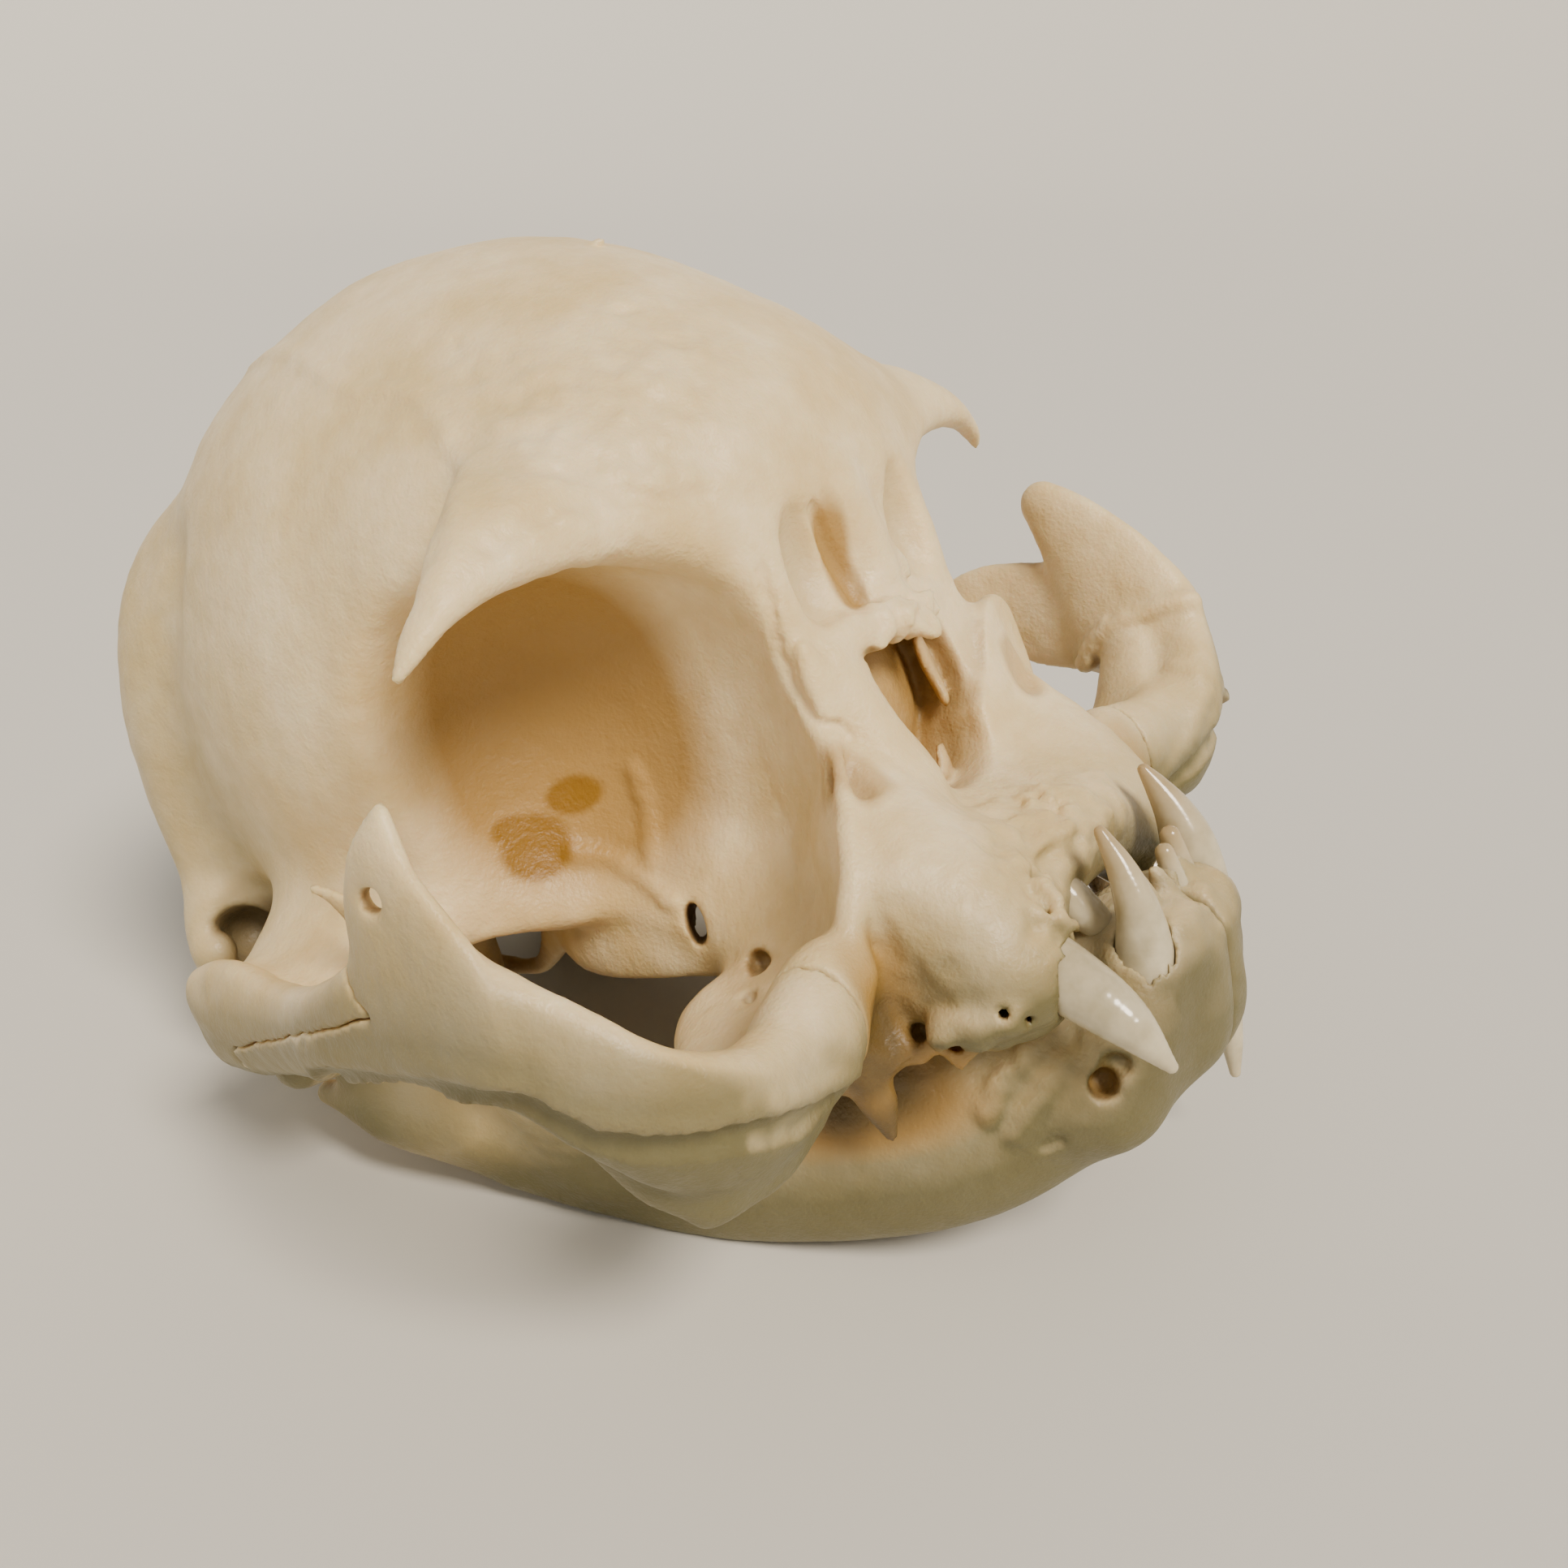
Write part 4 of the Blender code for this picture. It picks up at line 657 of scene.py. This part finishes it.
def hollowness(clay, points, out, reaches=(1.5, 3, 6)):  # how close other bone is, out from each point, mm; it darkens crevices as painted shade
    shares = [np.clip(1 - sampled(clay, points + reach * out) / reach, 0, 1) for reach in reaches]
    return sum(shares) / len(reaches)


paintedShadeLook = dict(  # painted olive shade: where it starts and how far on it is full, mm, and its shares
    lowStart=6, lowSlant=0.28, lowDepth=15, backStart=6, backDepth=22, backShare=0.6,
    cheekShare=0.8, edgeShare=0.9, edgeDepth=12)


def paintedShadeOn(points, out):  # painted olive shade, strongest on faces that look down: low down, at the back, and on the cheekbones below the muscle's edge
    look = paintedShadeLook
    x, y, z = points.T
    up = out[:, 2]
    low = np.clip((look["lowStart"] - z - look["lowSlant"] * y) / look["lowDepth"], 0, 1)
    low = low * np.clip(0.8 - 0.6 * up, 0, 1)
    back = np.clip((y - look["backStart"]) / look["backDepth"], 0, 1) * np.clip(0.7 - 0.5 * up, 0, 1)
    away = (np.abs(x)[:, None] - muscleLine[:, 0]) ** 2 + (y[:, None] - muscleLine[:, 1]) ** 2
    below = muscleLine[away.argmin(1), 2] - z  # how far each point is below the edge
    side = np.clip(np.abs(x) / 4 - 5, 0, 1) * np.clip(0.6 + 1.2 * out[:, 0] * np.sign(x), 0, 1)
    cheek = np.clip(1.3 - 1.5 * up, 0, 1) * np.clip(1.1 + below / look["edgeDepth"], 0, 1)
    edge = np.clip(0.4 + below, 0, 1)
    cheek = side * np.maximum(look["cheekShare"] * cheek, look["edgeShare"] * edge)
    return np.maximum(np.maximum(low, look["backShare"] * back), cheek)


def addValues(mesh, name, values):
    mesh.attributes.new(name, "FLOAT", "POINT").data.foreach_set("value", values.astype(np.float32))


def addShade(mesh, clay, points):  # what the bone's colour is worked out from, at each point
    out = slope(clay, points)
    # painted shade in crevices, where other bone is close
    addValues(mesh, "paintedCreviceShade", hollowness(clay, points, out))
    # fat stains, with some painted shade and painted light through thin bone
    addValues(mesh, "stainAndPaintedShade", spotted(points, stainsAndPaintedShade, full=3, fall=2.6, power=3))
    addValues(mesh, "glow", spotted(points, glows, full=4, fall=4))
    addValues(mesh, "shade", spotted(points, shades, full=2, fall=2))
    # painted olive shade on low, rear and down-facing bone
    addValues(mesh, "paintedOliveShade", paintedShadeOn(points, out))


def linear(hexCode):  # an sRGB hex code as linear light
    parts = [int(hexCode[i:i + 2], 16) / 255 for i in (1, 3, 5)]
    return tuple(p / 12.92 if p <= 0.04045 else ((p + 0.055) / 1.055) ** 2.4 for p in parts) + (1,)


def addNode(tree, kind, inputs=None, **settings):
    node = tree.nodes.new("ShaderNode" + kind)
    for name, value in settings.items():
        setattr(node, name, value)
    for name, value in (inputs or {}).items():
        if isinstance(value, bpy.types.NodeSocket):
            tree.links.new(value, node.inputs[name])
        else:
            node.inputs[name].default_value = value
    return node


def newMaterial(name, settings):
    made = bpy.data.materials.new(name)
    made.use_nodes = True
    shader = made.node_tree.nodes["Principled BSDF"]
    for socket, value in settings.items():
        shader.inputs[socket].default_value = value
    return made, made.node_tree, shader


def mixed(tree, factor, a, b):
    return addNode(tree, "Mix", {0: factor, 6: a, 7: b}, data_type="RGBA").outputs[2]


def ramp(tree, value, low, high, toLow=0.0, toHigh=1.0):
    return addNode(tree, "MapRange", {0: value, 1: low, 2: high, 3: toLow, 4: toHigh}).outputs[0]


def noise(tree, place, sizeMm, detail, roughness=0.5):
    settings = {"Vector": place, "Scale": 1 / (sizeMm * mm), "Detail": detail, "Roughness": roughness}
    return addNode(tree, "TexNoise", settings).outputs["Fac"]


boneLook = dict(
    light="#F7E3BA", cream="#E1C790", mottleMm=8, grainMm=1.1, poreMm=0.3, poreDepthMm=0.08, roughness=0.46,
    layers=dict(  # over the cream, by attribute: where each starts and is full, its share and its colour
        # the olive and crevice layers are painted shade, the amber layer is fat stain with some painted shade
        # and light, the dark layer is painted shade and the yellow layer is painted light through holes
        paintedOliveShade=(0.05, 0.9, 0.9, "#4C4B24"), paintedCreviceShade=(0.4, 1, 0.7, "#7C5B2F"), stainAndPaintedShade=(0.05, 1, 0.9, "#A8823F"),
        shade=(0, 1, 0.85, "#4E4020"), glow=(0, 1, 1, "#8F670C")),
    shader={"IOR": 1.5, "Subsurface Weight": 0.3, "Subsurface Radius": (1.0, 0.55, 0.25),
            "Subsurface Scale": 1.4 * mm})


def cleanedBone():  # degreased bone: satin, warm, and light goes a little way in
    look = boneLook
    made, tree, shader = newMaterial("cleaned bone", look["shader"])
    place = addNode(tree, "TexCoord").outputs["Object"]
    mottle = noise(tree, place, look["mottleMm"], 4, 0.6)
    grain = noise(tree, place, look["grainMm"], 3)
    pores = noise(tree, place, look["poreMm"], 2)
    color = mixed(tree, ramp(tree, mottle, 0.35, 0.65), linear(look["light"]), linear(look["cream"]))
    color = mixed(tree, ramp(tree, grain, 0.35, 0.75, 0, 0.3), color, linear(look["cream"]))
    for name, (start, full, share, hexCode) in look["layers"].items():
        amount = addNode(tree, "Attribute", attribute_name=name).outputs["Fac"]
        color = mixed(tree, ramp(tree, amount, start, full, 0, share), color, linear(hexCode))
    height = addNode(tree, "Math", {0: pores, 1: ramp(tree, grain, 0, 1, 0, 1.5)}, operation="ADD").outputs[0]
    bump = addNode(tree, "Bump", {"Height": height, "Distance": look["poreDepthMm"] * mm, "Strength": 0.8})
    shine = ramp(tree, grain, 0.2, 0.8, look["roughness"] - 0.08, look["roughness"] + 0.1)
    tree.links.new(color, shader.inputs["Base Color"])
    tree.links.new(bump.outputs[0], shader.inputs["Normal"])
    tree.links.new(shine, shader.inputs["Roughness"])
    return made


enamelLook = dict(
    pale="#D4CAAD", grey="#B6AB8C", root="#A88C5C", streakMm=1.6, streakDepthMm=0.04,
    shader={"Roughness": 0.18, "IOR": 1.62, "Subsurface Weight": 0.35, "Subsurface Radius": (1.0, 0.8, 0.6),
            "Subsurface Scale": 0.9 * mm})


def toothEnamel():  # glossy, greyish white, yellower towards the root
    look = enamelLook
    made, tree, shader = newMaterial("tooth enamel", look["shader"])
    place = addNode(tree, "TexCoord").outputs["Object"]
    streak = noise(tree, place, look["streakMm"], 3)
    root = addNode(tree, "Attribute", attribute_name="root").outputs["Fac"]
    color = mixed(tree, ramp(tree, streak, 0.3, 0.7), linear(look["pale"]), linear(look["grey"]))
    color = mixed(tree, ramp(tree, root, 0.3, 1, 0, 0.8), color, linear(look["root"]))
    bump = addNode(tree, "Bump", {"Height": streak, "Distance": look["streakDepthMm"] * mm, "Strength": 0.5})
    tree.links.new(color, shader.inputs["Base Color"])
    tree.links.new(bump.outputs[0], shader.inputs["Normal"])
    return made


bone = cleanedBone()
enamel = toothEnamel()


def addPiece(name, clay, nodes, look):
    mesh, points = meshOf(clay, name)
    if look is enamel:
        span = np.linalg.norm(points - points[points[:, 1].argmin()], axis=1)
        addValues(mesh, "root", span / span.max())
    else:
        addShade(mesh, clay, points)
    mesh.materials.append(look)
    piece = bpy.data.objects.new(name, mesh)
    bpy.context.scene.collection.objects.link(piece)
    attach(piece, "root")
    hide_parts(*nodes)
    print(name, len(mesh.polygons), "faces")


def halfClay():
    return Clay((-voxel,) + block["low"][1:], block["high"], voxel)


seamLook = dict(reach=2.5, grain=1.3, height=0.15)  # mm: how far a cheekbone spreads, and its ragged edge


def archClay(forms, sutures, seed):  # a cheekbone, and how far in from its sutures each point is
    clay = sculpt(Clay(cheekBlock["low"], cheekBlock["high"], voxel), forms)
    softened(clay)
    front, under, tip = [beyond(clay, **sutures[name]) for name in ("front", "under", "tip")]
    inside = np.minimum(np.minimum(front, np.maximum(under, tip)), seamLook["reach"] - clay.field)
    inside = inside + seamLook["height"] * noiseOn(clay.axes, seamLook["grain"], seed)
    return clay, inside.astype(np.float32)


canines = dict(
    upperCanineRight=dict(path=upperCanine, node="upper_canine_right"),
    upperCanineLeft=dict(path=slippedCanine, node="upper_canine_left"),
    lowerCanineRight=dict(path=lowerCanine, node="lower_canine_right"),
    lowerCanineLeft=dict(path=leftLowerCanine, node="lower_canine_left"))


def canineClay(name, size):
    path = canines[name]["path"]
    rows = np.array(path)
    reach = rows[:, 3].max() + 2
    clay = Clay(rows[:, :3].min(0) - reach, rows[:, :3].max(0) + reach, size)
    clay.rod(path, soft=0.1, steps=8)
    return flipped(clay) if name.endswith("Right") else clay


grains = dict(  # the grain all over each bone: its size and height, mm, and its seed
    bones=[(9, 0.2, 1), (2.4, 0.06, 2), (1.1, 0.035, 3)], jaw=[(3.5, 0.08, 4), (1.1, 0.035, 5)],
    cheek=[(2.5, 0.06, 7), (1.0, 0.03, 8)])
jawPatches = dict(  # where the lower jaw is rougher
    lip=dict(at=(0, -35.5, 0), radii=(7, 3.5, 3.5), grain=1.3, height=0.5, seed=6),
    toothRow=dict(at=(-10, -27, -5), radii=(4, 8, 3), grain=0.9, height=0.3, seed=11))

bones = halfClay()
for forms in (braincase, face, hollows, processes):
    sculpt(bones, forms)
softened(bones)
sculpt(bones, bothSides)
bones = mirrored(bones)
for forms in (rightSide, leftSide, onTheRight):
    sculpt(bones, forms)
for seed, line in enumerate(lines.values()):
    score(bones, seed=seed, **line)
for grain in grains["bones"]:
    roughen(bones, *grain)
for seed, patch in enumerate(patches.values()):
    roughen(bones, seed=20 + seed, **patch)
print("braincase and face modelled")

jaw = sculpt(halfClay(), mandible)
softened(jaw)
jaw = sculpt(mirrored(jaw), jawDetails)
for seed, line in enumerate(jawLines.values()):
    score(jaw, seed=40 + seed, **line)
for grain in grains["jaw"]:
    roughen(jaw, *grain)
for patch in jawPatches.values():
    roughen(jaw, **patch)
print("lower jaw modelled")

rightCheek, rightInside = archClay(rightArch, rightSutures, 9)
leftCheek, leftInside = archClay(leftArch, leftSutures, 10)
rightCheek = flipped(rightCheek)
parted(bones, rightCheek, rightInside[::-1], seam)
parted(bones, leftCheek, leftInside, seam)
for seed, line in enumerate(cheekLines.values()):
    score(leftCheek, seed=60 + seed, **line)
    line = dict(line, points=[(-x, y, z) for x, y, z in line["points"]])
    score(rightCheek, seed=60 + seed, **line)
for seed, line in enumerate(leftCheekLines.values()):
    score(leftCheek, seed=70 + seed, **line)
for cheek in (rightCheek, leftCheek):
    for grain in grains["cheek"]:
        roughen(cheek, *grain)
print("cheekbones modelled")

for name in canines:
    tooth = canineClay(name, voxel)
    keepClear(bones, tooth, 0)
    keepClear(jaw, tooth, 0)
keepClear(jaw, bones, seam)

addPiece("skullBone", bones, ["cranium", "upper_jaw"], bone)
addPiece("cheekboneRight", rightCheek, ["cheekbone_right"], bone)
addPiece("cheekboneLeft", leftCheek, ["cheekbone_left"], bone)
across = jaw.axes[0][:, None, None]
whole = jaw.field
for side, sign in (("Right", -1), ("Left", 1)):
    jaw.field = np.maximum(whole, seam / 2 - sign * across).astype(np.float32)
    addPiece("lowerJaw" + side, jaw, ["lower_jaw_" + side.lower()], bone)
for name, tooth in canines.items():
    addPiece(name, canineClay(name, toothVoxel), [tooth["node"]], enamel)
for name, kind in smallTeeth.items():
    teeth = sculpt(Clay(toothBlock["low"], toothBlock["high"], toothVoxel), kind["forms"])
    addPiece(name, teeth, kind["nodes"], enamel)


def addFloor():  # flat under the skull and rising far away on all sides, so that no horizon shows
    settings = dict(flat=1.2, reach=5, rise=0.22, rings=24, sides=96, color="#D9D7D1", roughness=0.8)
    radii = np.linspace(settings["flat"], settings["reach"], settings["rings"])
    heights = settings["rise"] * (radii - settings["flat"]) ** 2
    turns = np.arange(settings["sides"]) * 2 * np.pi / settings["sides"]
    points = [(0, 0, 0)]
    for r, z in zip(radii, heights):
        points += [(r * cos(a), r * sin(a), z) for a in turns]
    count = settings["sides"]
    faces = [(0, 1 + i, 1 + (i + 1) % count) for i in range(count)]
    for ring in range(settings["rings"] - 1):
        first = 1 + ring * count
        for i in range(count):
            j = (i + 1) % count
            faces.append((first + i, first + count + i, first + count + j, first + j))
    mesh = bpy.data.meshes.new("floor")
    mesh.from_pydata(points, [], faces)
    mesh.shade_smooth()
    look = {"Base Color": linear(settings["color"]), "Roughness": settings["roughness"]}
    mesh.materials.append(newMaterial("pale floor", look)[0])
    floor = bpy.data.objects.new("floor", mesh)
    bpy.context.scene.collection.objects.link(floor)


lights = dict(  # soft lights from far away: the way to each, its size in degrees, its power and colour
    key=dict(way=(-0.30, -0.68, 0.80), softness=20, power=4.1, color="#FFF1DE"),
    fill=dict(way=(-0.9, 0.1, 0.45), softness=50, power=0.3, color="#F3F6EE"))
surroundings = dict(color="#E6E8EA", strength=0.4)


def addLight(name, way, softness, power, color):
    light = bpy.data.lights.new(name, "SUN")
    light.angle = radians(softness)
    light.energy = power
    light.color = linear(color)[:3]
    lamp = bpy.data.objects.new(name, light)
    lamp.location = Vector(way)
    lamp.rotation_euler = (-Vector(way)).to_track_quat("-Z", "Y").to_euler()
    bpy.context.scene.collection.objects.link(lamp)


def addSurroundings():
    world = bpy.data.worlds.new("studio")
    world.use_nodes = True
    background = world.node_tree.nodes["Background"]
    background.inputs["Color"].default_value = linear(surroundings["color"])
    background.inputs["Strength"].default_value = surroundings["strength"]
    bpy.context.scene.world = world


view = dict(  # the photo's camera: where it is and looks, mm, its roll in degrees, and its lens in pixels
    at=(-80.27, -62.64, 67.43), aim=(12.29, -3.09, 19.6), roll=-1.55, focalPixels=1850, widthPixels=1932,
    sensorMm=36, nearMm=5)


def addCamera():
    data = bpy.data.cameras.new("camera")
    data.sensor_width = view["sensorMm"]
    data.sensor_fit = "HORIZONTAL"
    data.lens = view["sensorMm"] * view["focalPixels"] / view["widthPixels"]
    data.clip_start = view["nearMm"] * mm
    camera = bpy.data.objects.new("camera", data)
    at = Vector(view["at"]) * mm
    turn = (Vector(view["aim"]) * mm - at).to_track_quat("-Z", "Y").to_matrix()
    turn = turn @ Matrix.Rotation(radians(view["roll"]), 3, "Z")
    camera.matrix_world = Matrix.Translation(at) @ turn.to_4x4()
    bpy.context.scene.collection.objects.link(camera)
    bpy.context.scene.camera = camera


addFloor()
for name, settings in lights.items():
    addLight(name, **settings)
addSurroundings()
addCamera()
print("floor, lights and camera set")
